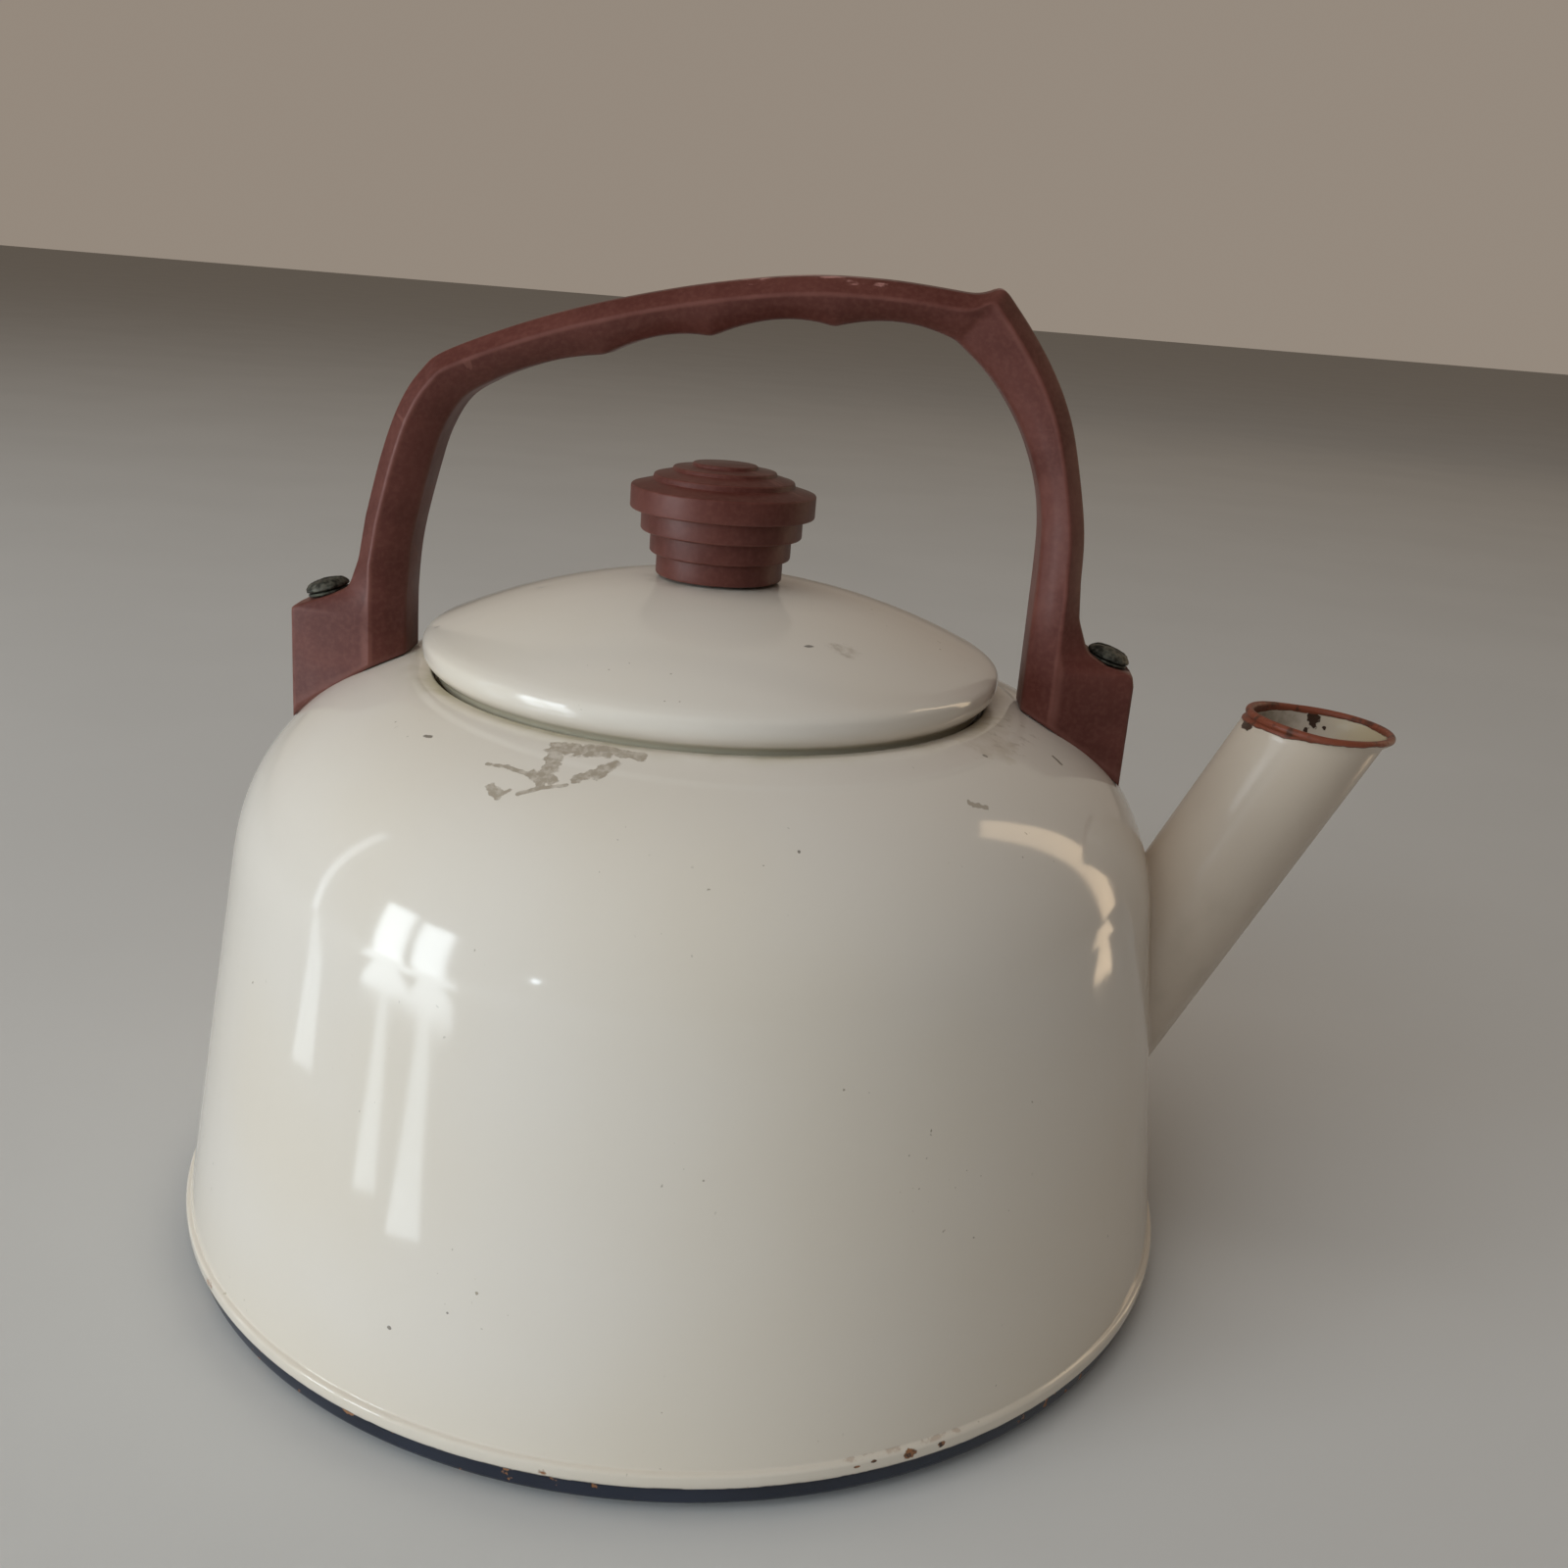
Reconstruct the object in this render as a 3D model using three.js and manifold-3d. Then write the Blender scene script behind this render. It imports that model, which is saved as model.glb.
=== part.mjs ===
// Enamelled stove-top tea kettle: tapered steel body, seamed base pan, straight steep spout,
// lift-off domed lid with a stepped phenolic knob, and a bridge handle with finger grooves.
//
// Frame: millimetres, +Z up, origin at the centre of the base pan's flat underside.
// The spout and the handle lie in the XZ plane, and the spout points to +X.

import * as THREE from "three";
import { mergeVertices } from "three/addons/utils/BufferGeometryUtils.js";
import Module from "manifold-3d";

const wasm = await Module();
wasm.setup();

// ---------------------------------------------------------------- driving dimensions (mm)

const GAP = 0.3;              // clearance kept between neighbouring pieces
const ROUND_STEPS = 60;       // facets round the large turned pieces
const SMALL_STEPS = 28;       // facets round the knob and the spout
const SCREW_STEPS = 16;       // facets round the screws, washers and bosses

const SHEET = 1.2;            // enamelled steel sheet thickness

const RIM_RADIUS = 110;       // outward-turned foot rim of the body
const RIM_BOTTOM = 6;
const RIM_TOP = 9.4;
const RIM_INNER = 106.4;
const RIM_ROUND = 0.8;
const WALL_FOOT_RADIUS = 108.9;
const WALL_FOOT_Z = 10.2;
const SHOULDER_RADIUS = 98.4; // where the straight wall turns into the shoulder
const SHOULDER_Z = 86;
const SHOULDER_PULL_RADIUS = 94.5;
const SHOULDER_PULL_Z = 114;
const CROWN_RADIUS = 63;      // top of the shoulder, just outside the lid seat
const CROWN_Z = 123.8;
const SEAT_RADIUS = 58.4;     // shallow recess that the lid's lip stands in
const SEAT_Z = 121.8;
const MOUTH_RADIUS = 52;
const NECK_BOTTOM_Z = 111;

const PAN_FLAT_RADIUS = 101;
const PAN_SIDE_RADIUS = 106;  // outside of the pan's upright lip
const PAN_FLANGE_RADIUS = 108.6;
const PAN_FLANGE_Z = 4.4;     // underside of the flange that closes the seam
const PAN_BEND = 1.4;
const PAN_LIP_TOP = 11;

const LID_RADIUS = 60.9;      // widest part of the lid's rolled edge
const LID_EDGE_Z = 128.2;
const LID_LIP_RADIUS = 57;
const LID_LIP_Z = 122.1;
const LID_DOME_RADIUS = 58.8; // where the rolled edge runs into the dome
const LID_DOME_Z = 131.4;
const LID_APEX_Z = 144.9;
const COLLAR_RADIUS = 50.2;
const COLLAR_BOTTOM_Z = 113.5;
const COLLAR_LEDGE_RADIUS = 55;
const COLLAR_LEDGE_Z = 125.6;
const COLLAR_LEDGE_RISE = 1.5;
const COLLAR_SHEET = 1;

const KNOB_BASE_Z = 144.9;
const KNOB_RISING = [         // radius and top of each step up to the widest one
  [13.3, 149.2],
  [14.8, 153.5],
  [16.9, 157.7],
  [19.3, 163.3],
];
const KNOB_FALLING = [        // radius and top of each smaller step above it
  [14.1, 165.6],
  [10.4, 167.1],
  [6.7, 168.3],
];
const KNOB_EDGE = 0.7;        // rounding of each step
const KNOB_DISH_RADIUS = 7;   // a point of the dished underside
const KNOB_POCKET_Z = 146.9;  // bottom of the pocket that the insert is moulded into
const KNOB_INSERT_RADIUS = 4;
const KNOB_INSERT_TOP = 158;
const KNOB_SCREW_RADIUS = 1.6;
const KNOB_SCREW_TOP = 155;
const KNOB_SCREW_HEAD_RADIUS = 3.8;
const KNOB_SCREW_HEAD_HEIGHT = 2;
const LID_HOLE_RADIUS = KNOB_SCREW_RADIUS + GAP;
const FIBRE_RADIUS = 6.5;
const FIBRE_HEIGHT = 1;
const KNOB_WASHER_RADIUS = 6;

const SPOUT_ANGLE = THREE.MathUtils.degToRad(63.8);
const SPOUT_X = 101;          // the spout's axis passes here at SPOUT_Z
const SPOUT_Z = 66;
const SPOUT_ROOT_RADIUS = 13.4;
const SPOUT_TIP_RADIUS = 13.8;
const SPOUT_TOOL_LOW = -45;   // tube and cutting tools start and end here along the axis
const SPOUT_TOOL_HIGH = 80;
const SPOUT_BORE_HIGH = 20;
const SPOUT_RIM_Z = 123.6;    // height of the mouth where the spout's axis meets it
const SPOUT_RIM_SLOPE = THREE.MathUtils.degToRad(2.5); // the pouring lip is the lower one
const SPOUT_RIM_RAISE = 0.8;  // extra height of the lip next to the body
const SPOUT_RIM_BEAD = 0.9;
const SPOUT_RIM_FLARE = 1.2;  // how far the bead stands outside the tube's wall

const HANDLE_HALF = 9.5;      // half the handle's thickness
const HANDLE_BEVEL = 3;
const HANDLE_BEVEL_WIDTH = 2.4;
const FOOT_OUTER_X = 90;
const FOOT_LEAN = 1.4;        // how far the spout-side foot leans in at its top
const FOOT_TOP_Z = 132;
const FOOT_BOTTOM_Z = 95;     // the blank reaches below the shoulder and is trimmed to it
const REAR_LEG_INNER_X = 65.4;
const FRONT_LEG_INNER_X = 66;
const SCREW_X = 83.2;         // where the screw axes cross the ledge of each foot
const SCREW_LEDGE_Z = 133.7;
const SCREW_TILT = THREE.MathUtils.degToRad(17);
const SCREW_RADIUS = 2.5;
const SCREW_LENGTH = 16;
const SCREW_HEAD_RADIUS = 4.6;
const SCREW_HEAD_HEIGHT = 2.7;
const SCREW_SEAT_RADIUS = 5.5; // flat spot faced on the ledge for the washer
const WASHER_RADIUS = 4.4;
const WASHER_HEIGHT = 0.6;
const BOSS_RADIUS = 5.5;
const BOSS_TOP = -8.5;        // top of the boss, measured down the screw axis from the ledge
const FAR = 60;               // reach of a cutting tool past the pieces

// ---------------------------------------------------------------- materials

const CREAM = { color: 0xe4dccb, roughness: 0.18, metalness: 0 };
const NAVY = { color: 0x1a2030, roughness: 0.22, metalness: 0 };
const PHENOLIC = { color: 0x6b2c2a, roughness: 0.45, metalness: 0 };
const STEEL = { color: 0x5a5c52, roughness: 0.5, metalness: 0.9 };
const BRASS = { color: 0xa98a4a, roughness: 0.4, metalness: 1 };
const FIBRE = { color: 0x5b4636, roughness: 0.9, metalness: 0 };

// ---------------------------------------------------------------- helpers

function v2(x, y) {
  return new THREE.Vector2(x, y);
}

// A closed mesh as a manifold-3d solid.
function toSolid(geometry) {
  const bare = geometry.clone();
  bare.deleteAttribute("normal");
  bare.deleteAttribute("uv");
  const merged = mergeVertices(bare, 1e-4);
  const vertProperties = new Float32Array(merged.attributes.position.array);
  const triVerts = new Uint32Array(merged.index.array);
  return new wasm.Manifold(new wasm.Mesh({ numProp: 3, vertProperties, triVerts }));
}

function toGeometry(solid) {
  const mesh = solid.getMesh();
  const geometry = new THREE.BufferGeometry();
  geometry.setAttribute("position", new THREE.BufferAttribute(mesh.vertProperties, 3));
  geometry.setIndex(new THREE.BufferAttribute(mesh.triVerts, 1));
  geometry.computeVertexNormals();
  return geometry;
}

// A profile of (radius, height) points turned about Z. It starts and ends on the axis.
function turned(profile, steps) {
  const geometry = new THREE.LatheGeometry(profile, steps);
  geometry.rotateX(Math.PI / 2);
  return geometry;
}

// A profile away from the axis, closed on itself and turned about Z.
function turnedRing(profile, steps) {
  return turned([...profile, profile[0].clone()], steps);
}

function rod(radius, bottom, top, steps) {
  return turned([v2(0, bottom), v2(radius, bottom), v2(radius, top), v2(0, top)], steps);
}

function tube(inner, outer, bottom, top, steps) {
  return turnedRing([v2(inner, bottom), v2(outer, bottom), v2(outer, top), v2(inner, top)], steps);
}

// A (radius, height) path moved sideways to its left.
function shifted(path, distance) {
  return path.map((point, i) => {
    const before = path[Math.max(i - 1, 0)];
    const after = path[Math.min(i + 1, path.length - 1)];
    const along = after.clone().sub(before).normalize();
    return v2(point.x - along.y * distance, point.y + along.x * distance);
  });
}

// The outline of a sheet of even thickness that follows a path.
function sheet(path, thickness) {
  return [...path, ...shifted(path, thickness).reverse()];
}

const kettle = new THREE.Group();

function add(name, geometry, look, parent = kettle) {
  const mesh = new THREE.Mesh(geometry, new THREE.MeshStandardMaterial(look));
  mesh.name = name;
  parent.add(mesh);
  return mesh;
}

// ---------------------------------------------------------------- body shell

const shoulder = new THREE.QuadraticBezierCurve(
  v2(SHOULDER_RADIUS, SHOULDER_Z),
  v2(SHOULDER_PULL_RADIUS, SHOULDER_PULL_Z),
  v2(CROWN_RADIUS, CROWN_Z),
).getPoints(8);

const bodyOutside = [
  v2(WALL_FOOT_RADIUS, WALL_FOOT_Z),
  ...shoulder,
  v2(SEAT_RADIUS + 1.6, SEAT_Z + 1),
  v2(SEAT_RADIUS - 1, SEAT_Z),
  v2(MOUTH_RADIUS + 2, SEAT_Z - 0.2),
  v2(MOUTH_RADIUS + 0.5, SEAT_Z - 1.2),
  v2(MOUTH_RADIUS, SEAT_Z - 3),
  v2(MOUTH_RADIUS, NECK_BOTTOM_Z),
];
const rimMiddle = (RIM_BOTTOM + RIM_TOP) / 2;
const bodyProfile = [
  v2(RIM_INNER, RIM_BOTTOM),
  v2(RIM_RADIUS - RIM_ROUND, RIM_BOTTOM),
  v2(RIM_RADIUS, rimMiddle - RIM_ROUND),
  v2(RIM_RADIUS, rimMiddle + RIM_ROUND),
  v2(RIM_RADIUS - RIM_ROUND, RIM_TOP),
  ...sheet(bodyOutside, SHEET),
  v2(RIM_INNER, RIM_TOP),
];

// Puts something modelled about Z onto the spout's axis, with its zero at SPOUT_Z.
function ontoSpout(geometry) {
  geometry.rotateY(Math.PI / 2 - SPOUT_ANGLE);
  geometry.translate(SPOUT_X, 0, SPOUT_Z);
  return geometry;
}

const spoutBore = ontoSpout(
  rod(SPOUT_ROOT_RADIUS - SHEET, SPOUT_TOOL_LOW, SPOUT_BORE_HIGH, SMALL_STEPS),
);
const bodySolid = toSolid(turnedRing(bodyProfile, ROUND_STEPS)).subtract(toSolid(spoutBore));
add("body_shell", toGeometry(bodySolid), CREAM);

// The body's outside grown by the clearance, used to trim what stands on it.
const clear = GAP + 0.1;
const bodyKeepOut = toSolid(
  turned(
    [
      v2(0, 0),
      v2(WALL_FOOT_RADIUS + clear + (SHOULDER_RADIUS - WALL_FOOT_RADIUS) * (-WALL_FOOT_Z / SHOULDER_Z), 0),
      v2(WALL_FOOT_RADIUS + clear, WALL_FOOT_Z),
      ...shifted(shoulder, -clear),
      v2(0, CROWN_Z + clear),
    ],
    ROUND_STEPS,
  ),
);

// ---------------------------------------------------------------- base pan

const panInner = PAN_SIDE_RADIUS - SHEET;
add(
  "base_pan",
  turned(
    [
      v2(0, 0),
      v2(PAN_FLAT_RADIUS, 0),
      v2(PAN_SIDE_RADIUS - PAN_BEND, PAN_BEND),
      v2(PAN_SIDE_RADIUS, PAN_FLANGE_Z - GAP),
      v2(PAN_FLANGE_RADIUS, PAN_FLANGE_Z),
      v2(PAN_FLANGE_RADIUS, RIM_BOTTOM - GAP),
      v2(PAN_SIDE_RADIUS, RIM_BOTTOM - GAP),
      v2(PAN_SIDE_RADIUS, PAN_LIP_TOP),
      v2(panInner, PAN_LIP_TOP),
      v2(panInner, PAN_FLANGE_Z),
      v2(panInner - PAN_BEND, SHEET + PAN_BEND),
      v2(PAN_FLAT_RADIUS - SHEET, SHEET),
      v2(0, SHEET),
    ],
    ROUND_STEPS,
  ),
  NAVY,
);

// ---------------------------------------------------------------- spout

const spoutTube = ontoSpout(
  turnedRing(
    [
      v2(SPOUT_ROOT_RADIUS, SPOUT_TOOL_LOW),
      v2(SPOUT_TIP_RADIUS, SPOUT_TOOL_HIGH),
      v2(SPOUT_TIP_RADIUS - SHEET, SPOUT_TOOL_HIGH),
      v2(SPOUT_ROOT_RADIUS - SHEET, SPOUT_TOOL_LOW),
    ],
    SMALL_STEPS,
  ),
);
const tipX = SPOUT_X + (SPOUT_RIM_Z - SPOUT_Z) / Math.tan(SPOUT_ANGLE);
const tipHalf = SPOUT_TIP_RADIUS / Math.sin(SPOUT_ANGLE);

// The mouth's height along X: sloping to the pouring lip, with a small S next to the body.
function mouthHeight(x) {
  const raise = SPOUT_RIM_RAISE * (1 - THREE.MathUtils.smoothstep(x, tipX - tipHalf, tipX));
  return SPOUT_RIM_Z - Math.tan(SPOUT_RIM_SLOPE) * (x - tipX) + raise;
}

// Everything above the mouth, cut off the tube.
const mouthSteps = 12;
const mouthShape = new THREE.Shape();
mouthShape.moveTo(tipX - FAR, mouthHeight(tipX - tipHalf));
for (let i = 0; i <= mouthSteps; i += 1) {
  const x = tipX - tipHalf + (2 * tipHalf * i) / mouthSteps;
  mouthShape.lineTo(x, mouthHeight(x));
}
mouthShape.lineTo(tipX + FAR, mouthHeight(tipX + tipHalf));
mouthShape.lineTo(tipX + FAR, SPOUT_RIM_Z + FAR);
mouthShape.lineTo(tipX - FAR, SPOUT_RIM_Z + FAR);
const mouthCut = new THREE.ExtrudeGeometry(mouthShape, { depth: FAR, bevelEnabled: false });
mouthCut.rotateX(Math.PI / 2);
mouthCut.translate(0, FAR / 2, 0);

// The rolled bead round the mouth: a ring stretched along X and bent to the mouth's height.
const beadSection = new THREE.EllipseCurve(
  SPOUT_TIP_RADIUS + SPOUT_RIM_FLARE - SPOUT_RIM_BEAD,
  0,
  SPOUT_RIM_BEAD,
  SPOUT_RIM_BEAD,
).getPoints(8);
const bead = turned(beadSection, SMALL_STEPS);
const beadPoints = bead.attributes.position;
for (let i = 0; i < beadPoints.count; i += 1) {
  const x = tipX + beadPoints.getX(i) / Math.sin(SPOUT_ANGLE);
  const height = mouthHeight(x) - GAP;
  const lean = (height - SPOUT_RIM_Z) / Math.tan(SPOUT_ANGLE);
  beadPoints.setXYZ(i, x + lean, beadPoints.getY(i), beadPoints.getZ(i) + height);
}

const spoutSolid = toSolid(spoutTube)
  .subtract(toSolid(mouthCut))
  .subtract(bodyKeepOut)
  .add(toSolid(bead));
add("spout", toGeometry(spoutSolid), CREAM);

// ---------------------------------------------------------------- lid

const lid = new THREE.Group();
kettle.add(lid);

const domeSag = LID_APEX_Z - LID_DOME_Z;
const domeSphere = (LID_DOME_RADIUS ** 2 + domeSag ** 2) / (2 * domeSag);

function domeHeight(radius) {
  return LID_APEX_Z - domeSphere + Math.sqrt(domeSphere ** 2 - radius ** 2);
}

const domeSteps = 5;
const domePath = [];
for (let i = domeSteps; i >= 0; i -= 1) {
  const radius = THREE.MathUtils.lerp(LID_HOLE_RADIUS, LID_DOME_RADIUS, i / domeSteps);
  domePath.push(v2(radius, domeHeight(radius)));
}
const lidOutside = [
  v2(LID_LIP_RADIUS, LID_LIP_Z),
  v2(LID_LIP_RADIUS + 0.4, LID_LIP_Z + 2),
  v2(LID_RADIUS - 1.7, LID_EDGE_Z - 2.9),
  v2(LID_RADIUS - 0.3, LID_EDGE_Z - 1.4),
  v2(LID_RADIUS, LID_EDGE_Z),
  v2(LID_RADIUS - 0.4, LID_EDGE_Z + 2),
  ...domePath,
];
add("lid_shell", turnedRing(sheet(lidOutside, SHEET), ROUND_STEPS), CREAM, lid);

// The centring collar: a ring with an outward ledge, welded inside the dome.
const collarOutside = [
  v2(COLLAR_RADIUS, COLLAR_BOTTOM_Z),
  v2(COLLAR_RADIUS, COLLAR_LEDGE_Z),
  v2(COLLAR_LEDGE_RADIUS, COLLAR_LEDGE_Z + COLLAR_LEDGE_RISE),
  v2(COLLAR_LEDGE_RADIUS, domeHeight(COLLAR_LEDGE_RADIUS) - SHEET - 2 * GAP),
];
add("lid_collar", turnedRing(sheet(collarOutside, COLLAR_SHEET), ROUND_STEPS), CREAM, lid);

// ---------------------------------------------------------------- knob and its fastening

// The underside is dished to sit on the dome.
const boreRadius = KNOB_SCREW_RADIUS + GAP;
const knobProfile = [boreRadius, KNOB_DISH_RADIUS].map((r) => v2(r, domeHeight(r) + GAP + 0.05));
let stepBottom = KNOB_BASE_Z;
for (const [radius, top] of KNOB_RISING) {
  knobProfile.push(v2(radius - KNOB_EDGE, stepBottom));
  knobProfile.push(v2(radius, stepBottom + KNOB_EDGE));
  knobProfile.push(v2(radius, top - KNOB_EDGE / 2));
  knobProfile.push(v2(radius - KNOB_EDGE, top));
  stepBottom = top;
}
for (const [radius, top] of KNOB_FALLING) {
  knobProfile.push(v2(radius, top - KNOB_EDGE / 2));
  knobProfile.push(v2(radius - KNOB_EDGE, top));
}
const knobTop = KNOB_FALLING.at(-1)[1];
const pocketRadius = KNOB_INSERT_RADIUS + GAP;
knobProfile.push(v2(0, knobTop));
knobProfile.push(v2(0, KNOB_INSERT_TOP + GAP));
knobProfile.push(v2(pocketRadius, KNOB_INSERT_TOP + GAP));
knobProfile.push(v2(pocketRadius, KNOB_POCKET_Z));
knobProfile.push(v2(boreRadius, KNOB_POCKET_Z));
add("knob", turnedRing(knobProfile, SMALL_STEPS), PHENOLIC, lid);

const insert = tube(
  boreRadius,
  KNOB_INSERT_RADIUS,
  KNOB_POCKET_Z + GAP,
  KNOB_INSERT_TOP,
  SCREW_STEPS,
);
add("knob_insert", insert, BRASS, lid);

const fibreTop = LID_APEX_Z - SHEET - 2 * GAP;
const fibreBottom = fibreTop - FIBRE_HEIGHT;
const fibreWasher = tube(LID_HOLE_RADIUS, FIBRE_RADIUS, fibreBottom, fibreTop, SCREW_STEPS);
add("knob_fibre_washer", fibreWasher, FIBRE, lid);

const washerTop = fibreBottom - GAP;
const washerBottom = washerTop - WASHER_HEIGHT;
const knobWasher = tube(
  LID_HOLE_RADIUS,
  KNOB_WASHER_RADIUS,
  washerBottom,
  washerTop,
  SCREW_STEPS,
);
add("knob_washer", knobWasher, STEEL, lid);

// A screw standing on Z = 0: domed slotted head above, plain shank below.
function screwGeometry(shankRadius, shankLength, headRadius, headHeight) {
  const tipChamfer = 0.5;
  const profile = [
    v2(0, -shankLength),
    v2(shankRadius - tipChamfer, -shankLength),
    v2(shankRadius, tipChamfer - shankLength),
    v2(shankRadius, 0),
    v2(headRadius, 0),
    v2(headRadius, headHeight * 0.45),
    v2(headRadius * 0.8, headHeight * 0.85),
    v2(headRadius * 0.4, headHeight),
    v2(0, headHeight),
  ];
  const slot = new THREE.BoxGeometry(3 * headRadius, headRadius * 0.26, headHeight * 0.9);
  slot.translate(0, 0, headHeight);
  return toGeometry(toSolid(turned(profile, SCREW_STEPS)).subtract(toSolid(slot)));
}

const knobScrewSeat = washerBottom - GAP;
const knobScrew = add(
  "knob_screw",
  screwGeometry(
    KNOB_SCREW_RADIUS,
    KNOB_SCREW_TOP - knobScrewSeat,
    KNOB_SCREW_HEAD_RADIUS,
    KNOB_SCREW_HEAD_HEIGHT,
  ),
  STEEL,
  lid,
);
knobScrew.rotation.x = Math.PI;
knobScrew.position.z = knobScrewSeat;

// ---------------------------------------------------------------- handle

// Underside of the grip: each cusp between two fingers, and the pull point of the arch after it.
const FINGER_ARCHES = [
  { cusp: [-47, 182.2], pull: [-36, 187.2] },
  { cusp: [-25.4, 188.2], pull: [-14, 194.6] },
  { cusp: [-4.2, 193.4], pull: [9, 200] },
  { cusp: [20.1, 197.2], pull: [33, 201.4] },
];

const bridge = new THREE.Shape();
bridge.moveTo(-FOOT_OUTER_X, FOOT_BOTTOM_Z);
bridge.lineTo(-FOOT_OUTER_X, FOOT_TOP_Z - 0.6);
bridge.lineTo(-81.5, 134.7);
bridge.quadraticCurveTo(-77, 136.5, -75.4, 143);
bridge.splineThru([
  v2(-73.6, 153),
  v2(-70.4, 166),
  v2(-66.8, 175.6),
  v2(-62.6, 182.3),
  v2(-56.5, 187.2),
  v2(-35.6, 195.6),
  v2(-11, 202.4),
  v2(12, 206.4),
  v2(30, 207),
  v2(46.5, 205.8),
]);
bridge.lineTo(52.4, 207.2); // thumb peak
bridge.splineThru([v2(63.5, 193.8), v2(70.6, 178.5), v2(74.4, 162.5), v2(75.4, 150)]);
bridge.quadraticCurveTo(76, 138, 81, 135);
bridge.lineTo(FOOT_OUTER_X - FOOT_LEAN, FOOT_TOP_Z + 0.6);
bridge.lineTo(FOOT_OUTER_X, FOOT_BOTTOM_Z);
bridge.lineTo(FRONT_LEG_INNER_X, FOOT_BOTTOM_Z);
bridge.lineTo(FRONT_LEG_INNER_X, 142);
bridge.splineThru([v2(65.4, 163), v2(60.8, 177.5), v2(53, 189), v2(44.6, 196.4)]);
for (const { cusp, pull } of FINGER_ARCHES.toReversed()) {
  bridge.quadraticCurveTo(...pull, ...cusp);
}
bridge.splineThru([
  v2(-54.6, 176.6),
  v2(-60.4, 163),
  v2(-64, 148),
  v2(0.4 - REAR_LEG_INNER_X, 136),
]);
bridge.lineTo(-REAR_LEG_INNER_X, FOOT_BOTTOM_Z);

const flatHalf = HANDLE_HALF - HANDLE_BEVEL;
const handleBlank = new THREE.ExtrudeGeometry(bridge, {
  depth: 2 * flatHalf,
  bevelEnabled: true,
  bevelThickness: HANDLE_BEVEL,
  bevelSize: HANDLE_BEVEL_WIDTH,
  bevelOffset: -HANDLE_BEVEL_WIDTH,
  bevelSegments: 1,
  curveSegments: 4,
});
handleBlank.rotateX(Math.PI / 2);
handleBlank.translate(0, flatHalf, 0);

const FEET = [
  { foot: "rear", side: -1 },
  { foot: "spout_side", side: 1 },
];

// Puts something modelled about Z, with its zero on the ledge, onto one foot's screw axis.
function ontoLedge(geometry, side) {
  geometry.rotateY(side * SCREW_TILT);
  geometry.translate(side * SCREW_X, 0, SCREW_LEDGE_Z);
  return geometry;
}

let handleSolid = toSolid(handleBlank).subtract(bodyKeepOut);
for (const { side } of FEET) {
  const cutters = [
    rod(SCREW_RADIUS + GAP, -FAR, FAR, SCREW_STEPS),
    rod(BOSS_RADIUS + GAP, -FAR, BOSS_TOP + GAP, SCREW_STEPS),
    rod(SCREW_SEAT_RADIUS, 0, FAR / 2, SCREW_STEPS),
  ];
  for (const cutter of cutters) {
    handleSolid = handleSolid.subtract(toSolid(ontoLedge(cutter, side)));
  }
}
add("handle", toGeometry(handleSolid), PHENOLIC);

const washerSeat = GAP;
const headSeat = washerSeat + WASHER_HEIGHT + GAP;
for (const { foot, side } of FEET) {
  const washer = tube(
    SCREW_RADIUS + GAP,
    WASHER_RADIUS,
    washerSeat,
    washerSeat + WASHER_HEIGHT,
    SCREW_STEPS,
  );
  add(`handle_washer_${foot}`, ontoLedge(washer, side), STEEL);

  const screw = screwGeometry(SCREW_RADIUS, SCREW_LENGTH, SCREW_HEAD_RADIUS, SCREW_HEAD_HEIGHT);
  screw.translate(0, 0, headSeat);
  add(`handle_screw_${foot}`, ontoLedge(screw, side), STEEL);

  const boss = ontoLedge(tube(SCREW_RADIUS + GAP, BOSS_RADIUS, -FAR / 2, BOSS_TOP, SCREW_STEPS), side);
  add(`handle_boss_${foot}`, toGeometry(toSolid(boss).subtract(bodyKeepOut)), STEEL);
}

export default kettle;
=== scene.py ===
import math

import bmesh
import bpy
import numpy as np
from mathutils import Matrix, Vector, noise


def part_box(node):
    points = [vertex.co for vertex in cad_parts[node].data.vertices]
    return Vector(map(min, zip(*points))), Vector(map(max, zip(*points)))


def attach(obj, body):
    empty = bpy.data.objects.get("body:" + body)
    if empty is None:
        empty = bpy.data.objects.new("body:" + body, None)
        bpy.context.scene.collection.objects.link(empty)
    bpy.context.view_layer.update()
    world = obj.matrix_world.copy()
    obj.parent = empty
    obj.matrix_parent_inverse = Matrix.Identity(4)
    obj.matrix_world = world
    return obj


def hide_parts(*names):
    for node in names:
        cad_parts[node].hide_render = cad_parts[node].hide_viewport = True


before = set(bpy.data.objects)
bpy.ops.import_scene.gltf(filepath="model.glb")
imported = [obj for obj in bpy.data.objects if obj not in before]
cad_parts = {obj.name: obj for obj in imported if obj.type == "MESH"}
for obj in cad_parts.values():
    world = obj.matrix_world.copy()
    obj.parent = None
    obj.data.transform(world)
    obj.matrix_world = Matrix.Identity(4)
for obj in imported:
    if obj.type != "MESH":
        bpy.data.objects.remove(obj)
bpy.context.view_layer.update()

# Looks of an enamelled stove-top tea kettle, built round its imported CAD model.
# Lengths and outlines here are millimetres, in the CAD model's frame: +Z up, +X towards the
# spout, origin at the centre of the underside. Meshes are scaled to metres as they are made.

MM = 0.001


def box_mm(node):
    low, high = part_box(node)
    return low / MM, high / MM


body_low, body_high = box_mm("body_shell")
pan_high = box_mm("base_pan")[1]
spout_low, spout_high = box_mm("spout")
lid_low, lid_high = box_mm("lid_shell")
collar_low, collar_high = box_mm("lid_collar")
knob_low, knob_high = box_mm("knob")
handle_high = box_mm("handle")[1]

# ---- driving dimensions (mm)

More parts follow.
